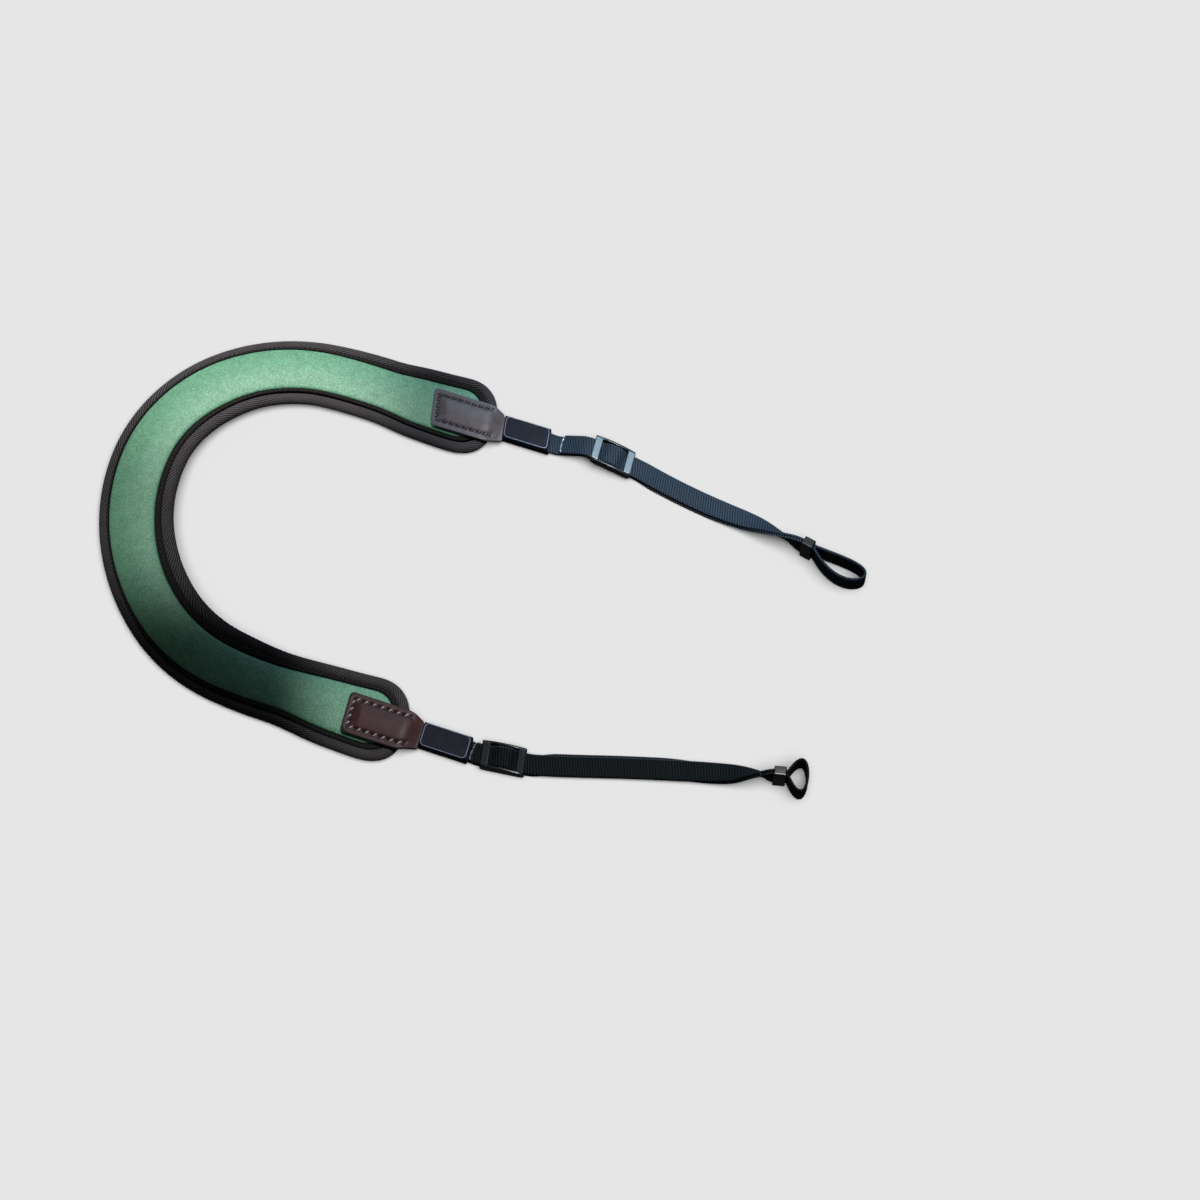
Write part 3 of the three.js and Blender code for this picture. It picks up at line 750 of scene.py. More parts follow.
def tab_top(at, across, hole):
    """The height of the tab's upper face above its underside."""
    inset = tab_inset(at, across)
    edge = EDGE_DROP * (1 - sqrt(1 - min(max(1 - inset / EDGE_ROUND, 0), 1) ** 2))
    share = min(abs(across) / (TAB_HALF - SEAM_INSET), 1)
    puff = PUFF * (1 - share**2) * ease(SEAM_START, SEAM_START + PUFF_RUN, at)
    puff *= 1 - PUFF_LOSS * ease(-NECK_RUN, NECK_RUN, at)
    trench = TRENCH_DEPTH * exp(-(((inset - SEAM_INSET) / TRENCH_WIDTH) ** 2))
    trench *= ease(SEAM_END + TRENCH_FADE, SEAM_END, at)
    return TAB_THICK - edge + puff - trench - SLIT_DEPTH * hole


def tab_point(arm, at, across, rise):
    """Where a point of the unskewed tab lies on its arm, `rise` above the tab's underside."""
    cut = TAB_CUTS[arm]
    across += column_at(TAB_ROWS, "middle", at)
    at -= cut["skew"] * across
    height = column_at(TAB_FLOORS, "floor", at) + rise
    return ARM_PLACES[arm] @ Vector((at + cut["reach"], across, height))


def tab_steps(length):
    """Steps in from the tab's edge: close together round the edge, then even."""
    count = round((length - 1) / TAB_MESH)
    return [0, 0.1, 0.25, 0.45, 0.7] + [1 + TAB_MESH * k for k in range(count)]


tab_lengths = [TAB_START + step for step in tab_steps(TAB_END - TAB_START)]
tab_shares = [1 - step / TAB_HALF for step in tab_steps(TAB_HALF)]
tab_shares += [0] + [-share for share in reversed(tab_shares)]
tab_under = [-0.99, -0.7, -0.3, 0.3, 0.7, 0.99]
tab_around = len(tab_shares) + len(tab_under)


def tab_half_at(at):
    """The tab's half width, cut round at its corners."""
    corner = max(TAB_CORNER - (at - TAB_START), 0)
    return column_at(TAB_ROWS, "half", at) - TAB_CORNER + sqrt(TAB_CORNER**2 - corner**2)


def tab_form(arm):
    """The tab. Its mark is 0 at the cut edge, 0.5 on its face, 1 in the holes, 0.3 underneath."""
    holes = seam_holes(TAB_CUTS[arm]["stitches"])

    def place(i, j):
        at = tab_lengths[i]
        j %= tab_around
        if j < len(tab_shares):
            across = tab_half_at(at) * tab_shares[j]
            hole = hole_depth(holes, at, across)
            mark = 0.5 + 0.5 * hole - 0.5 * ease(0.9, 0.1, tab_inset(at, across))
            rise = tab_top(at, across, hole)
        else:
            across = tab_half_at(at) * tab_under[j - len(tab_shares)]
            mark, rise = 0.3, 0
        return tab_point(arm, at, across, rise), (at, across), mark

    name = f"{arm}_leather_tab"
    return cloth_form(name, LEATHERS[arm], len(tab_lengths) - 1, tab_around, place)


def painted(material, mask, below, color):
    """The colour below, with another one over it where the mask is 1."""
    mix = node(material, "Mix", {"data_type": "RGBA"}, Factor=mask)
    material.node_tree.links.new(below, mix.inputs[6])
    mix.inputs[7].default_value = (*color, 1)
    return mix.outputs[2]


def leather_finish(name, color, edge, shine, sheen):
    """Finely grained leather with a cloudy dye, another colour on its cut edge and painted shade in
    its stitch holes.
    """
    leather = finish(
        name, color, 0.48, Specular_IOR_Level=shine, Sheen_Weight=sheen, Sheen_Roughness=0.4,
        Sheen_Tint=(0.6, 0.78, 1, 1),
    )
    where = weave_place(leather)
    grain = node(leather, "TexVoronoi", {"feature": "SMOOTH_F1"}, Vector=where, Scale=2.2)
    grain.inputs["Smoothness"].default_value = 0.5
    cloud = noise(leather, where, 0.22, 5.0, Roughness=0.65)
    dark, light = ([share * part for part in color] for share in (0.7, 1.25))
    body = between(leather, cloud, dark, light, 0.72)
    mark = mark_of(leather)
    # The cut edge gets its own colour, and the stitch holes get painted shade.
    edge_paint = node(leather, "MapRange", Value=mark, From_Min=0.45, From_Max=0.1)
    hole_shade = node(leather, "MapRange", Value=mark, From_Min=0.6, From_Max=0.85)
    body = painted(leather, edge_paint.outputs["Result"], body, edge)
    body = painted(leather, hole_shade.outputs["Result"], body, (0.002, 0.002, 0.004))
    colored(leather, body)
    raised(leather, grain.outputs["Distance"], 0.09, 0.6)
    return leather


# The two tabs are one leather. The upper tab's lighter, greyer colour is a painted sheen, and its
# pale cut edge is a painted highlight.
LEATHERS = {
    "upper": leather_finish(
        "upper_leather_painted_sheen", (0.087, 0.069, 0.074), (0.1, 0.105, 0.13), shine=0.35, sheen=0.22
    ),
    "lower": leather_finish(
        "lower_leather", (0.042, 0.0135, 0.0135), (0.02, 0.018, 0.022), shine=0.26, sheen=0.06
    ),
}
# One thread: a dark copy, painted shade, on the upper tab, and a pale copy, a painted highlight, on
# the lower.
THREADS = {
    "upper": finish("shaded_navy_thread", (0.002, 0.006, 0.018), 0.45),
    "lower": finish("lit_grey_thread", (0.3, 0.3, 0.32), 0.5),
}
for arm in ARM_PLACES:
    tab = tab_form(arm)
    thread = bmesh.new()
    holes = seam_holes(TAB_CUTS[arm]["stitches"])
    for here, there in zip(holes, holes[1:]):
        ends = ((here + there) / 2 + reach * SLIT for reach in (-STITCH_REACH, STITCH_REACH))
        start, end = (tab_point(arm, *spot, STITCH_RISE) for spot in ends)
        stitch(thread, start, end, STITCH_RADIUS, Vector((0, 0, 1)))
    stitches = settled(f"{arm}_tab_stitches", THREADS[arm], thread)
    for piece in (tab, stitches):
        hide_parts(f"{arm}_tab")


# ---- The label sleeves ----
# A short tube of dark navy hide, folded round the tab's neck and the webbing and pressed flat. Its
# upper face is a blank label with a fine embossed frame.

SLEEVE = {"length": 22.7, "width": 12, "height": 5.4, "corner": 1.6, "wall": 0.7}
SLEEVE_START = 4.6
FRAME_INSET = 0.75
FRAME_CORNER = 1.9
FRAME_HALF = 0.2
FRAME_RISE = 0.12
FRAME_ROUND = 8  # faces round the frame's line
MOUTH_ROUND = 0.45  # a share of the wall


def block(length, width, height):
    """A plain block round the origin, as a bmesh."""
    mesh = bmesh.new()
    bmesh.ops.create_cube(mesh, size=1, matrix=Matrix.Diagonal((length, width, height, 1)))
    return mesh


def lengthwise(mesh):
    """A block's long edges, or those of a tube."""
    return [edge for edge in mesh.edges if abs(edge.verts[0].co.x - edge.verts[1].co.x) > 1]


def eased(mesh, edges, offset, segments):
    """Rounds edges of a bmesh over."""
    bmesh.ops.bevel(
        mesh, geom=edges, offset=offset, segments=segments, profile=0.5, affect="EDGES", material=-1
    )
    return mesh


def tube(length, width, height, corner, wall):
    """A rectangular tube along X with rounded edges, its mouths rounded too, round the origin."""
    mesh = block(length, width, height)
    ends = [face for face in mesh.faces if abs(face.normal.x) > 0.5]
    bmesh.ops.delete(mesh, geom=ends, context="FACES_ONLY")
    eased(mesh, lengthwise(mesh), corner, 6)
    bmesh.ops.recalc_face_normals(mesh, faces=mesh.faces)
    bmesh.ops.solidify(mesh, geom=mesh.faces[:], thickness=wall)
    at_mouths = {vert for vert in mesh.verts if abs(abs(vert.co.x) - length / 2) < 1e-4}
    rims = [edge for edge in mesh.edges if at_mouths.issuperset(edge.verts)]
    rims = [edge for edge in rims if abs(abs(edge.calc_face_angle()) - pi / 2) < 0.2]
    return eased(mesh, rims, MOUTH_ROUND * wall, 3)


def put(mesh, place):
    """Moves a bmesh made in millimetres to its place on the strap, in metres."""
    bmesh.ops.transform(mesh, matrix=Matrix.Scale(MM, 4) @ place, verts=mesh.verts)
    return mesh


def evened(piece):
    """Lets wide flat faces shade flat beside rounded edges."""
    piece.modifiers.new("even shading", "WEIGHTED_NORMAL").keep_sharp = True
    return piece


def rounded_path(length, width, corner, steps):
    """The points of a rounded rectangle in the XY plane, all the way round."""
    points = []
    for k, (x, y) in enumerate([(1, 1), (-1, 1), (-1, -1), (1, -1)]):
        middle = Vector((x * (length / 2 - corner), y * (width / 2 - corner), 0))
        for step in range(steps + 1):
            angle = pi / 2 * (k + step / steps)
            points.append(middle + corner * Vector((cos(angle), sin(angle), 0)))
    return points


def object_place(material):
    """Where a point lies on the strap, in metres."""
    return node(material, "TexCoord").outputs["Object"]


hide = finish("sleeve_hide", (0.005, 0.006, 0.013), 0.5, Specular_IOR_Level=0.1)
pebble = node(hide, "TexVoronoi", Vector=object_place(hide), Scale=1800.0)
cast = noise(hide, object_place(hide), 260.0, 4.0)
colored(hide, between(hide, cast, (0.003, 0.0035, 0.008), (0.007, 0.008, 0.017)))
raised(hide, pebble.outputs["Distance"], 0.05, 0.5)
foil = finish("frame_line", (0.15, 0.19, 0.26), 0.4)
glint = noise(foil, object_place(foil), 900.0)
colored(foil, between(foil, glint, (0.07, 0.1, 0.14), (0.17, 0.22, 0.29)))

sleeve_middle = Vector((SLEEVE_START + SLEEVE["length"] / 2, 0, SLEEVE["height"] / 2))
frame_path = rounded_path(
    SLEEVE["length"] - 2 * FRAME_INSET, SLEEVE["width"] - 2 * FRAME_INSET, FRAME_CORNER, 6
)
for arm, arm_at in ARM_PLACES.items():
    skew = Matrix.Identity(4)
    skew[0][1] = -TAB_CUTS[arm]["sleeve_skew"]
    out = Vector((TAB_CUTS[arm]["reach"], 0, 0))
    place = arm_at @ Matrix.Translation(sleeve_middle + out) @ skew
    sleeve = evened(settled(f"{arm}_label_sleeve", hide, put(tube(**SLEEVE), place)))

    def frame_place(i, j):
        here = frame_path[i % len(frame_path)]
        ahead = frame_path[(i + 1) % len(frame_path)] - frame_path[i % len(frame_path) - 1]
        outward = ahead.cross(Vector((0, 0, 1))).normalized()
        angle = 2 * pi * j / FRAME_ROUND
        point = here + FRAME_HALF * cos(angle) * outward
        point.z = SLEEVE["height"] / 2 + FRAME_RISE * sin(angle)
        return place @ point, (0, 0)

    line = cloth_form(f"{arm}_label_frame", foil, len(frame_path), FRAME_ROUND, frame_place)
    for piece in (sleeve, line):
        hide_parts(f"{arm}_sleeve")


# ---- The webbing ----
# Ribbed nylon webbing, one length for each arm. It leaves the sleeve, runs out under its own
# returning end to the lug loop, and comes back over itself through the keeper and the buckle.

WEB = {"start": 8.5, "width": 10, "thick": 1.1}
LAYER = (WEB["thick"] + GAP) / 2
PAIR_HALF = WEB["thick"] + GAP / 2
FLOOR_GAP = 0.1
SLEEVE_LIFT = 1.1  # how high off the floor the sleeve holds the webbing
SLEEVE_SINK = (28, 33)  # where along the arm it sinks from there to the floor
BUCKLE_LENGTH = 20
BUCKLE_CLIMB = 2.4
BAR_HALF = 1.5
BAR_SLOPE = 4.5
KEEPER_LIFT = 1.25
KEEPER_RISE = (22, 7)  # how far before the loop it rises to the keeper's height
KEEPER_LENGTH = 5.3
# How far past the buckle the lower layer slips aside, and how far before the loop it is back.
STAGGER_START = (2, 14)
STAGGER_END = (30, 55)
LOOP_STEPS = 90
ROUTE_START = {"at": 0, "x": 0, "y": 0, "heading": 0, "twist": 0}

# Each row runs on for `run`, turns left by `turn` and rises by the height that a bend of `climb`
# gives. Its webbing is twisted by `twist` at its end, which turns its inner side down. `slant` is
# how far its ribs lean from square.
ARMS = {
    "upper": {
        "tail": 33.5, "stagger": -0.6, "buckle_row": 4, "slant": 0.38,
        "loop": {"length": 26, "spread": 5.6, "skew": 0.6},
        "rows": table(
            "run turn climb twist",
            (28, 0, 0, 0),
            (3, 5.6, 18, 0),
            (11, 2, 0, 0),
            (6, -11.4, -28, 0),
            (BUCKLE_LENGTH, 0, 0, 0),
            (8, -10, 10, 0),
            (29, 5.3, 0, 0),
            (20, 2, 0, -12),
            (21, -6, 0, -62),
            (11, 0, 0, -90),
            (6, 0, 0, -90),
        ),
    },
    "lower": {
        "tail": 30.8, "stagger": 1.4, "buckle_row": 2, "slant": 0.15,
        "loop": {"length": 8.8, "spread": 9, "skew": 0},
        "rows": table(
            "run turn climb twist",
            (32, 0, 0, 0),
            (3, 7, 0, 0),
            (BUCKLE_LENGTH, 0, 0, 0),
            (6, 9, 0, 0),
            (24, 2, 0, 0),
            (35, -2.4, 0, -2),
            (23, -1.5, 0, -17),
            (14, -1, 0, -62),
            (7, 0, 0, -90),
            (6, 0, 0, -90),
        ),
    },
}
ROUTES = {name: with_ends(arm["rows"], ROUTE_START) for name, arm in ARMS.items()}
BUCKLE_STARTS = {name: ROUTES[name][arm["buckle_row"]]["at"] for name, arm in ARMS.items()}
KEEPER_ENDS = {name: route[-1]["at"] for name, route in ROUTES.items()}


@functools.cache
def route_middle(arm, at):
    """The middle of the doubled webbing, high enough for its lower edge to clear the floor."""
    route, keeper_end = ROUTES[arm], KEEPER_ENDS[arm]
    x, y, _ = route_at(route, "turn", at)
    twist = radians(column_at(route, "twist", at))
    edge = WEB["width"] / 2 * abs(sin(twist)) + PAIR_HALF * abs(cos(twist))
    reach = TAB_CUTS[arm]["reach"]
    lift = SLEEVE_LIFT * (1 - ease(SLEEVE_SINK[0] + reach, SLEEVE_SINK[1] + reach, at))
    lift += KEEPER_LIFT * ease(keeper_end - KEEPER_RISE[0], keeper_end - KEEPER_RISE[1], at)
    return Vector((x, y, FLOOR_GAP + edge + lift + route_at(route, "climb", at)[1]))


def route_frame(arm, at):
    """A point of the route, with the ways along it, out of its side and out of its face."""
    step = 0.25
    twist = radians(column_at(ROUTES[arm], "twist", at))
    along = (route_middle(arm, at + step) - route_middle(arm, at - step)).normalized()
    side = Quaternion(along, twist) @ Vector((0, 0, 1)).cross(along).normalized()
    return route_middle(arm, at), along, side, along.cross(side)


def climb_at(arm, at):
    """How far the webbing is off its route, where it climbs over the buckle's middle bar."""
    from_bar = abs(at - BUCKLE_STARTS[arm] - BUCKLE_LENGTH / 2) - BAR_HALF
    return BUCKLE_CLIMB * (0.5 + 0.5 * cos(pi * min(max(from_bar / BAR_SLOPE, 0), 1)))


def layer_frame(arm, at, layer):
    """Where the lower layer (-1) or the upper one (1) lies, with its side and its face. Between
    the buckle and the keeper the lower one lies a little to one side."""
    middle, _, side, face = route_frame(arm, at)
    step = 0.25
    slope = (climb_at(arm, at + step) - climb_at(arm, at - step)) / (2 * step)
    middle = middle + face * climb_at(arm, at)
    face = Quaternion(side, -atan(slope)) @ face
    slipped = ease(*STAGGER_START, at - BUCKLE_STARTS[arm] - BUCKLE_LENGTH)
    slipped *= ease(*STAGGER_END, KEEPER_ENDS[arm] - at)
    shift = ARMS[arm]["stagger"] * slipped if layer < 0 else 0
    return [middle + face * layer * LAYER + side * shift, side, face]


def loop_point(arm, share):
    """A point of the lug loop, a drop-shaped turn of the upright webbing."""
    loop, keeper_end = ARMS[arm]["loop"], KEEPER_ENDS[arm]
    angle = pi * share
    ahead = loop["length"] * (1 - cos(2 * angle)) / 2
    wide = loop["spread"] * (1 + loop["skew"] * cos(angle))
    aside = -wide * sin(2 * angle) * sin(angle) - LAYER * cos(angle)
    drop = KEEPER_LIFT * ease(0, 0.5, min(share, 1 - share))
    way = radians(route_at(ROUTES[arm], "turn", keeper_end)[2])
    return route_middle(arm, keeper_end) + Vector((
        ahead * cos(way) - aside * sin(way),
        ahead * sin(way) + aside * cos(way),
        -drop,
    ))


def half_millimetres(start, end):
    """Lengths from start to end, about half a millimetre apart."""
    count = round(2 * abs(end - start))
    return [start + (end - start) * k / count for k in range(count + 1)]


def webbing_frames(arm):
    """Frames from the sleeve out to the loop and back to the tail, with which way they run."""
    keeper_end, step = KEEPER_ENDS[arm], 0.005
    out_lengths = half_millimetres(WEB["start"], keeper_end)
    frames = [layer_frame(arm, at, -1) + [Vector((1, 0, 0))] for at in out_lengths]
    for k in range(1, LOOP_STEPS):
        share = k / LOOP_STEPS
        ahead = loop_point(arm, share + step) - loop_point(arm, share - step)
        ahead.z = 0
        side = Vector((0, 0, -1))
        way = Vector((cos(pi * share), 0, 0))
        frames.append([loop_point(arm, share), side, ahead.normalized().cross(side), way])
    for at in half_millimetres(keeper_end, ARMS[arm]["tail"]):
        point, side, face = layer_frame(arm, at, 1)
        frames.append([point, side, -face, Vector((-1, 0, 0))])
    return frames


RIB_STEP = 0.25
WEB_RIB = 1.25
WEB_RIB_SHARPNESS = 1.4
WEB_RIB_DEPTH = 0.36  # a share of the thickness
SERRATION = 0.36  # how far the edges dip in between every second rib, in millimetres
TAPER = 1.6  # the sealed tail narrows over this length
TAPER_SHARE = 0.22
# The webbing's section, as shares of its half width and half thickness.
web_ring = [(0.97 * (k / 5 - 1), 1) for k in range(11)] + [(0.985, 0.55), (1, 0), (0.985, -0.55)]
web_ring += [(-share, -level) for share, level in web_ring]


def webbing_form(arm):
    """The webbing. Its mark is 1 on its ribs and 0 between them."""
    frames = evenly(webbing_frames(arm), RIB_STEP)
    whole = frames[-1][0]

    def place(i, j):
        at, (point, side, face, way) = frames[i]
        share, level = web_ring[j % len(web_ring)]
        across = share * WEB["width"] / 2
        phase = (at + across * way.x * ARMS[arm]["slant"]) / WEB_RIB
        rib = abs(sin(pi * phase)) ** WEB_RIB_SHARPNESS
        if abs(share) > 0.98:
            across -= copysign(SERRATION * (1 - abs(sin(pi * phase / 2)) ** 0.7), share)
        thick = WEB["thick"] / 2 * level * (1 - WEB_RIB_DEPTH * (1 - rib))
        from_tail = whole - at
        if from_tail < TAPER:
            across *= 1 - TAPER_SHARE * (1 - from_tail / TAPER) ** 2.5
        return ARM_PLACES[arm] @ (point + side * across + face * thick), (at, across), rib

    name = f"{arm}_strap_webbing"
    return cloth_form(name, WEBBINGS[arm], len(frames) - 1, len(web_ring), place)


def webbing_finish(name, dark, light, painted_edge_shading, shine):
    """Nylon with painted shade in the grooves between its ribs and a painted highlight along
    one edge.
    """
    webbing = finish(
        name, light, 0.55, Sheen_Weight=0.06, Sheen_Roughness=0.4,
        Sheen_Tint=(0.55, 0.75, 1, 1), Specular_IOR_Level=shine,
    )
    yarn = node(
        webbing, "TexWave", {"wave_type": "BANDS", "bands_direction": "Y", "wave_profile": "SIN"},
        Vector=weave_place(webbing), Scale=0.5, Distortion=0.8, Detail=1.0,
    ).outputs["Fac"]
    fade = noise(webbing, weave_place(webbing, (0.4, 1, 1)), 0.8, 4.0)
    rib = mark_of(webbing)
    tone = mixed(webbing, 0.22, rib, mixed(webbing, 0.5, yarn, fade))
    # A painted highlight on the ribs along one edge, from 4.3 to 4.9 mm across.
    across = node(webbing, "SeparateXYZ", Vector=weave_place(webbing)).outputs["Y"]
    side = node(webbing, "MapRange", Value=across, From_Min=4.3, From_Max=4.9).outputs["Result"]
    body = between(webbing, tone, dark, light)
    colored(webbing, painted(webbing, mixed(webbing, side, 0.0, rib), body, painted_edge_shading))
    raised(webbing, yarn, 0.09, 0.8)
    return webbing


# The upper webbing is a lit copy of the same black nylon: its blue is a painted reflection of the
# cool window.
WEBBINGS = {
    "upper": webbing_finish(
        "webbing_painted_blue_reflection", dark=(0.0001, 0.0003, 0.0006), light=(0.022, 0.036, 0.055),
        painted_edge_shading=(0.04, 0.065, 0.09), shine=0.06,
    ),
    "lower": webbing_finish(
        "black_webbing", dark=(0.0003, 0.0005, 0.0006), light=(0.008, 0.011, 0.012),
        painted_edge_shading=(0.09, 0.1, 0.12), shine=0.04,
    ),
}
# The tail is sealed with heat, which leaves an uneven bead of melted nylon bowed round its end.
BEAD_HALF = 4.6
BEAD_RADIUS = 0.5
BEAD_BOW = 1.1
BEAD_PAST = 0.05  # the end of the tail
BEAD_ALONG = 28
BEAD_ROUND = 8


def seal_finish(name, dark, light):
    """Melted nylon, hard and glossy, with painted glints: pale specks over its dark colour."""
    seal = finish(name, light, 0.2, Coat_Weight=0.6, Coat_Roughness=0.08)
    melt_and_glints = noise(seal, weave_place(seal), 1.6)
    colored(seal, between(seal, melt_and_glints, dark, light))
    raised(seal, melt_and_glints, 0.3, 0.8)
    return seal


SEALS = {
    "upper": seal_finish("upper_seal_painted_glints", (0.01, 0.02, 0.03), (0.3, 0.42, 0.5)),
    "lower": seal_finish("lower_seal_painted_glints", (0.008, 0.01, 0.012), (0.12, 0.15, 0.18)),
}
for arm in ARMS:
    strap = webbing_form(arm)
    bead_at, bead_side, bead_face = layer_frame(arm, ARMS[arm]["tail"], 1)
    bead_back = bead_side.cross(bead_face)

    def bead_place(i, j):
        share = 2 * i / BEAD_ALONG - 1
        bow = (BEAD_BOW + BEAD_PAST) * sqrt(max(1 - abs(share) ** 3.2, 0)) - BEAD_BOW
        uneven = 1 + 0.35 * sin(7.3 * share) * cos(17 * share)
        radius = BEAD_RADIUS * uneven if abs(share) < 1 else 0
        angle = 2 * pi * j / BEAD_ROUND
        point = bead_at + BEAD_HALF * share * bead_side - bow * bead_back
        point = point + radius * (cos(angle) * bead_back + 1.5 * sin(angle) * bead_face)
        return ARM_PLACES[arm] @ point, (5 * share, 3 * j / BEAD_ROUND)

    bead = cloth_form(f"{arm}_sealed_end", SEALS[arm], BEAD_ALONG, BEAD_ROUND, bead_place)
    for piece in (strap, bead):
        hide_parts(f"{arm}_webbing")


# ---- The buckles ----
# A three-bar slide moulded in glossy black plastic. The doubled webbing runs under both end bars
# and over the middle one, and the two side rails bow up between the ends. The end bars' flat tops
# get their own finish: paler blue on the upper slide, a painted reflection; rougher on the lower
# one.

SLIDE_WIDTH = 12.8
SLIDE_THICK = 2
SLIDE_FLOOR = PAIR_HALF + GAP
SLIDE_TOP = SLIDE_FLOOR + SLIDE_THICK
SLIDE_LEANS = {"upper": 0.16, "lower": 0.1}
END_BAR = 3.8
END_CORNER = 0.55
MIDDLE_BAR = 2.4
MIDDLE_CORNER = 0.45
MIDDLE_TOP = BUCKLE_CLIMB - PAIR_HALF - GAP
MIDDLE_THICK = 1.5
RAIL = 1.1
RAIL_CORNER = 0.3
# The rails' lower edges lie just below the middle bar and lift at their ends. Their tops start
# lower than the end bars and bow up past them.
RAIL_FLOOR = MIDDLE_TOP - MIDDLE_THICK - 0.2
RAIL_END_LIFT = 0.9
RAIL_END_TOP = SLIDE_TOP - 0.8
RAIL_BOW = 1.2
# The painted part of an end bar's top stops short of the rounded edges.
PAINTED_TOP_HALF = 1.3
PAINTED_TOP_MARGIN = 0.6
PAINTED_TOP_DEPTH = 0.2


def moulded_bar(length, width, height, corner, middle):
    """A bar with rounded edges, as a bmesh."""
    mesh = block(length, width, height)
    eased(mesh, mesh.edges[:], corner, 4)
    bmesh.ops.translate(mesh, vec=middle, verts=mesh.verts)
    return mesh


def bowed_rail(y):
    """A side rail: a strip on edge whose top bows up toward the buckle's middle."""
    mesh = block(BUCKLE_LENGTH, RAIL, SLIDE_TOP - RAIL_FLOOR)
    bmesh.ops.subdivide_edges(mesh, edges=lengthwise(mesh), cuts=15, use_grid_fill=True)
    for vert in mesh.verts:
        t = 2 * vert.co.x / BUCKLE_LENGTH
        if vert.co.z > 0:
            vert.co.z = RAIL_END_TOP + RAIL_BOW * (1 - t * t)
        else:
            vert.co.z = RAIL_FLOOR + RAIL_END_LIFT * abs(t) ** 12
        vert.co.y += y
    sharp = [edge for edge in mesh.edges if edge.calc_face_angle() > 1]
    return eased(mesh, sharp, RAIL_CORNER, 3)


def joined(name, material, meshes, place):
    """Joins moulded pieces into one skin."""
    pieces = []
    for k, mesh in enumerate(meshes):
        data = bpy.data.meshes.new(f"{name}_{k}")
        put(mesh, place).to_mesh(data)
        mesh.free()
        pieces.append(in_scene(f"{name}_{k}", data))
    whole, others = pieces[0], pieces[1:]
    for other in others:
        union = whole.modifiers.new("union", "BOOLEAN")
        union.operation, union.solver, union.object = "UNION", "EXACT", other
    shape = bpy.data.meshes.new_from_object(
        whole.evaluated_get(bpy.context.evaluated_depsgraph_get())
    )
    for piece in pieces:
        bpy.data.objects.remove(piece)
    mesh = bmesh.new()
    mesh.from_mesh(shape)
    return evened(settled(name, material, mesh))


def plastic_finish(name, color, roughness, shine):
    """Moulded plastic with faint flow marks and fine scuffs."""
    plastic = finish(name, color, roughness, Specular_IOR_Level=shine)
    flow = noise(plastic, object_place(plastic), 420.0, 5.0)
    colored(plastic, between(plastic, flow, [0.75 * part for part in color], color))
    scuffs = noise(plastic, object_place(plastic), 2600.0, 3.0)
    raised(plastic, scuffs, 0.02, 0.5)
    return plastic


# The upper slide's plastic is a lit copy of the black one: its blue is a painted reflection.
PLASTICS = {
    "upper": plastic_finish("plastic_painted_blue_reflection", (0.012, 0.02, 0.026), 0.25, 0.4),
    "lower": plastic_finish("black_plastic", (0.006, 0.007, 0.009), 0.25, 0.4),
}
# The end bars' tops: on the upper slide a paler blue copy, a painted reflection; on the lower a
# rougher, duller one.
PAINTED_BAR_TOPS = {
    "upper": plastic_finish("blue_black_painted_reflection", (0.075, 0.125, 0.16), 0.4, 0.5),
    "lower": plastic_finish("black_grain", (0.005, 0.006, 0.009), 0.45, 0.1),
}


def seat(arm, at):
    """Puts a piece on the doubled webbing, its X along it and its Z out of the upper face."""
    middle, along, side, face = route_frame(arm, at)
    turn = Matrix((along, side, face)).transposed().to_4x4()
    return ARM_PLACES[arm] @ Matrix.Translation(middle) @ turn


END_AT = (BUCKLE_LENGTH - END_BAR) / 2
RAIL_AT = (SLIDE_WIDTH - RAIL) / 2

for arm in ARMS:
    end_z = SLIDE_FLOOR + SLIDE_THICK / 2
    bars = [
        moulded_bar(END_BAR, 2 * RAIL_AT, SLIDE_THICK, END_CORNER, Vector((x, 0, end_z)))
        for x in (-END_AT, END_AT)
    ]
    middle = Vector((0, 0, MIDDLE_TOP - MIDDLE_THICK / 2))
    bars.append(moulded_bar(MIDDLE_BAR, 2 * RAIL_AT, MIDDLE_THICK, MIDDLE_CORNER, middle))
    bars += [bowed_rail(-RAIL_AT), bowed_rail(RAIL_AT)]
    lean = Matrix.Identity(4)
    lean[0][1] = -SLIDE_LEANS[arm]
    place = seat(arm, BUCKLE_STARTS[arm] + BUCKLE_LENGTH / 2) @ lean
    slide = joined(f"{arm}_slide_buckle", PLASTICS[arm], bars, place)
    # Faces on the end bars' flat tops take the second finish, the painted reflection on the upper
    # slide.
    slide.data.materials.append(PAINTED_BAR_TOPS[arm])
    to_slide = place.inverted()
    for polygon in slide.data.polygons:
        here = to_slide @ (polygon.center / MM)
        on_bar = abs(here.x) > END_AT - PAINTED_TOP_HALF and abs(here.y) < RAIL_AT - PAINTED_TOP_MARGIN
        polygon.material_index = int(on_bar and here.z > SLIDE_TOP - PAINTED_TOP_DEPTH)
    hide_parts(f"{arm}_buckle")


# ---- The keepers ----
# A small moulded ring that holds the two layers together where the lug loop begins.

KEEPER_BORE = (WEB["width"] + 0.7, 2 * PAIR_HALF + 2 * GAP)
KEEPER_WALL = 0.9
KEEPER_CORNER = 1
KEEPER_BACK = 0.8  # from where the loop begins

for arm in ARMS:
    width, height = (size + 2 * KEEPER_WALL for size in KEEPER_BORE)
    ring = tube(KEEPER_LENGTH, width, height, KEEPER_CORNER, KEEPER_WALL)
    place = seat(arm, KEEPER_ENDS[arm] - KEEPER_BACK - KEEPER_LENGTH / 2)
    keeper = evened(settled(f"{arm}_keeper_ring", PLASTICS["lower"], put(ring, place)))
    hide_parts(f"{arm}_keeper")


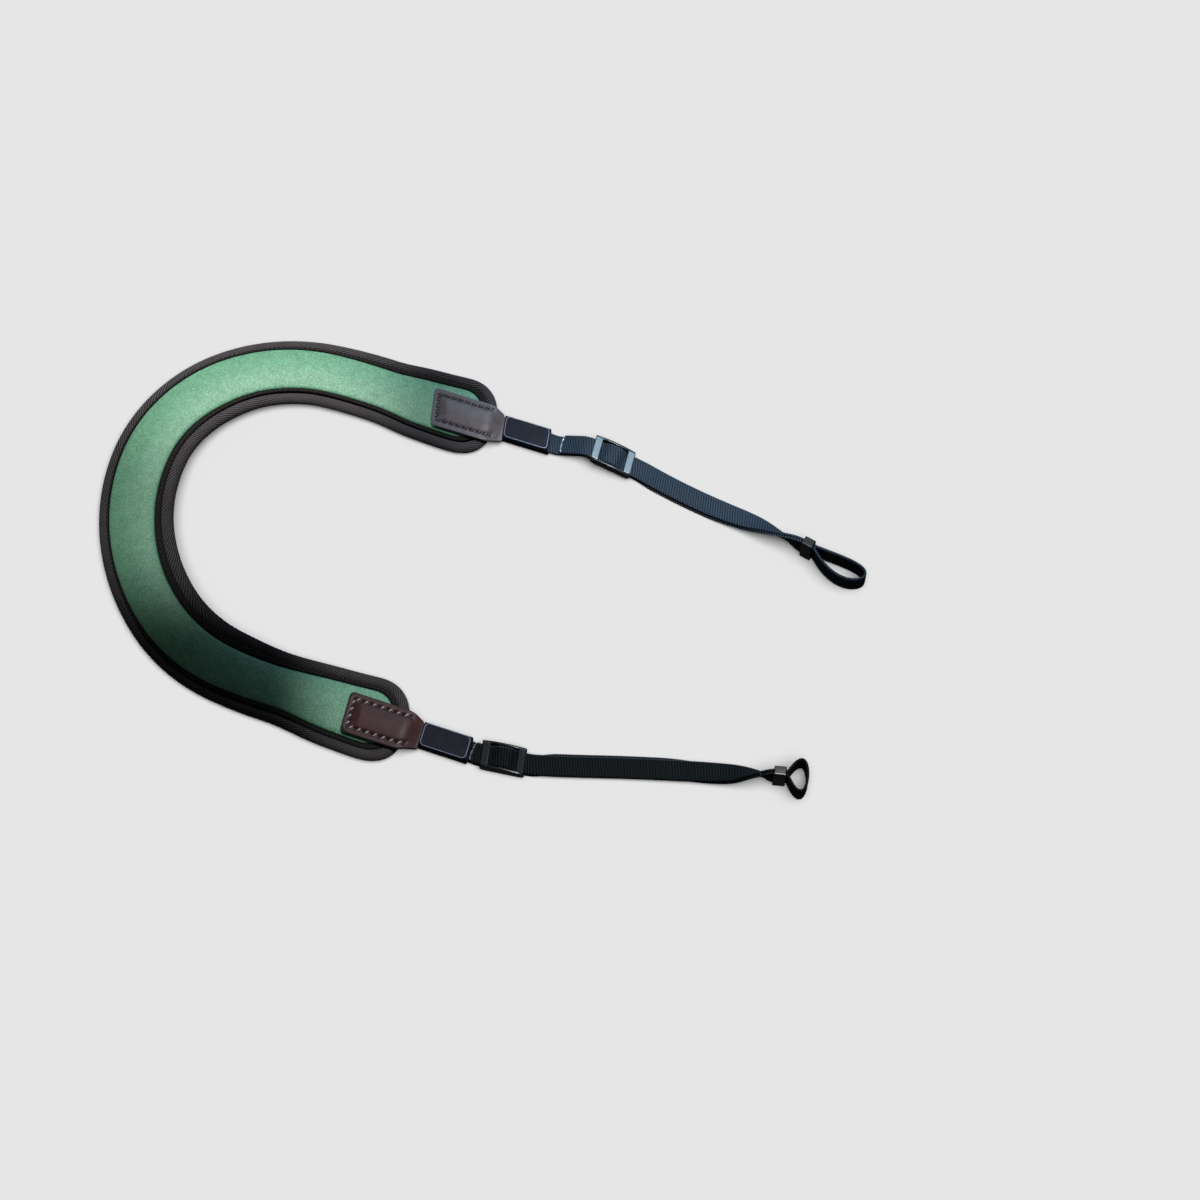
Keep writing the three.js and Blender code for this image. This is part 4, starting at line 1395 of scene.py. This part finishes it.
# ---- The floor and the light ----
# A plain pale floor, with a wash of light of its own. Soft spots hung high overhead leave pools
# of light along the strap, with a dark stretch where none falls, and a cool window lies far behind.

POOL_HEIGHT = 0.98
POOL_BACK = 0.1

floor_mesh = bmesh.new()
bmesh.ops.create_grid(floor_mesh, x_segments=1, y_segments=1, size=4)
floor_data = bpy.data.meshes.new("floor")
floor_mesh.to_mesh(floor_data)
floor_mesh.free()
floor = bpy.data.objects.new("floor", floor_data)
floor_only = bpy.data.collections.new("floor_only")
bpy.context.scene.collection.children.link(floor_only)
floor_only.objects.link(floor)
paper = finish("floor_paper", (0.8, 0.8, 0.8), 0.95, Specular_IOR_Level=0.1)
floor.data.materials.append(paper)
floor.visible_glossy = False
floor.visible_diffuse = False

strap_only = bpy.data.collections.new("strap_only")
bpy.context.scene.collection.children.link(strap_only)
for piece in bpy.context.scene.objects:
    if piece.type == "MESH" and piece != floor:
        strap_only.objects.link(piece)


def lit_by(name, data, place, aimed):
    """Hangs a lamp that lights the strap alone."""
    light = in_scene(name, data)
    light.location = place
    light.rotation_euler = (Vector(aimed) - Vector(place)).to_track_quat("-Z", "Y").to_euler()
    light.light_linking.receiver_collection = strap_only
    light.visible_camera = False


def pool(name, middle, aside, reach, softness, power, color):
    """A soft spot high over the strap, `aside` of the pool's middle, whose light ends at about
    `reach` from it."""
    data = bpy.data.lights.new(name, "SPOT")
    data.energy, data.color, data.shadow_soft_size = power, color, 0.015
    data.spot_size, data.spot_blend = 2 * atan(reach), softness
    lit_by(name, data, (middle[0] + aside, middle[1] + POOL_BACK, POOL_HEIGHT), (*middle, 0))


pool("wide_curve_light", (-0.137, 0.08), -0.12, 0.123, 0.62, 31, (1, 0.97, 0.95))
pool("curve_light", (-0.108, 0.112), -0.12, 0.1, 1, 37, (1, 0.97, 0.94))
pool("lower_arm_light", (0.062, -0.06), 0.15, 0.142, 0.25, 34, (1, 0.98, 0.98))
pool("upper_arm_light", (0.068, 0.045), 0.15, 0.112, 0.6, 34, (0.97, 0.98, 1))
window = bpy.data.lights.new("window", "AREA")
window.shape, window.size, window.size_y, window.spread = "RECTANGLE", 0.24, 0.1, radians(30)
window.energy, window.color = 0.18, (0.5, 0.78, 1)
lit_by("window", window, (0.14, 0.72, 0.66), (0.12, 0.04, 0))
wash = bpy.data.lights.new("wash", "SUN")
wash.energy, wash.angle = 3.08, radians(60)
wash_light = in_scene("wash", wash)
wash_light.rotation_euler = (radians(12), radians(10), 0)
wash_light.light_linking.receiver_collection = floor_only
world = bpy.data.worlds.new("surround")
world.use_nodes = True
surround = world.node_tree.nodes["Background"]
surround.inputs["Color"].default_value = (0.95, 0.97, 1, 1)
surround.inputs["Strength"].default_value = 0.05
bpy.context.scene.world = world
bpy.context.scene.view_settings.view_transform = "Standard"
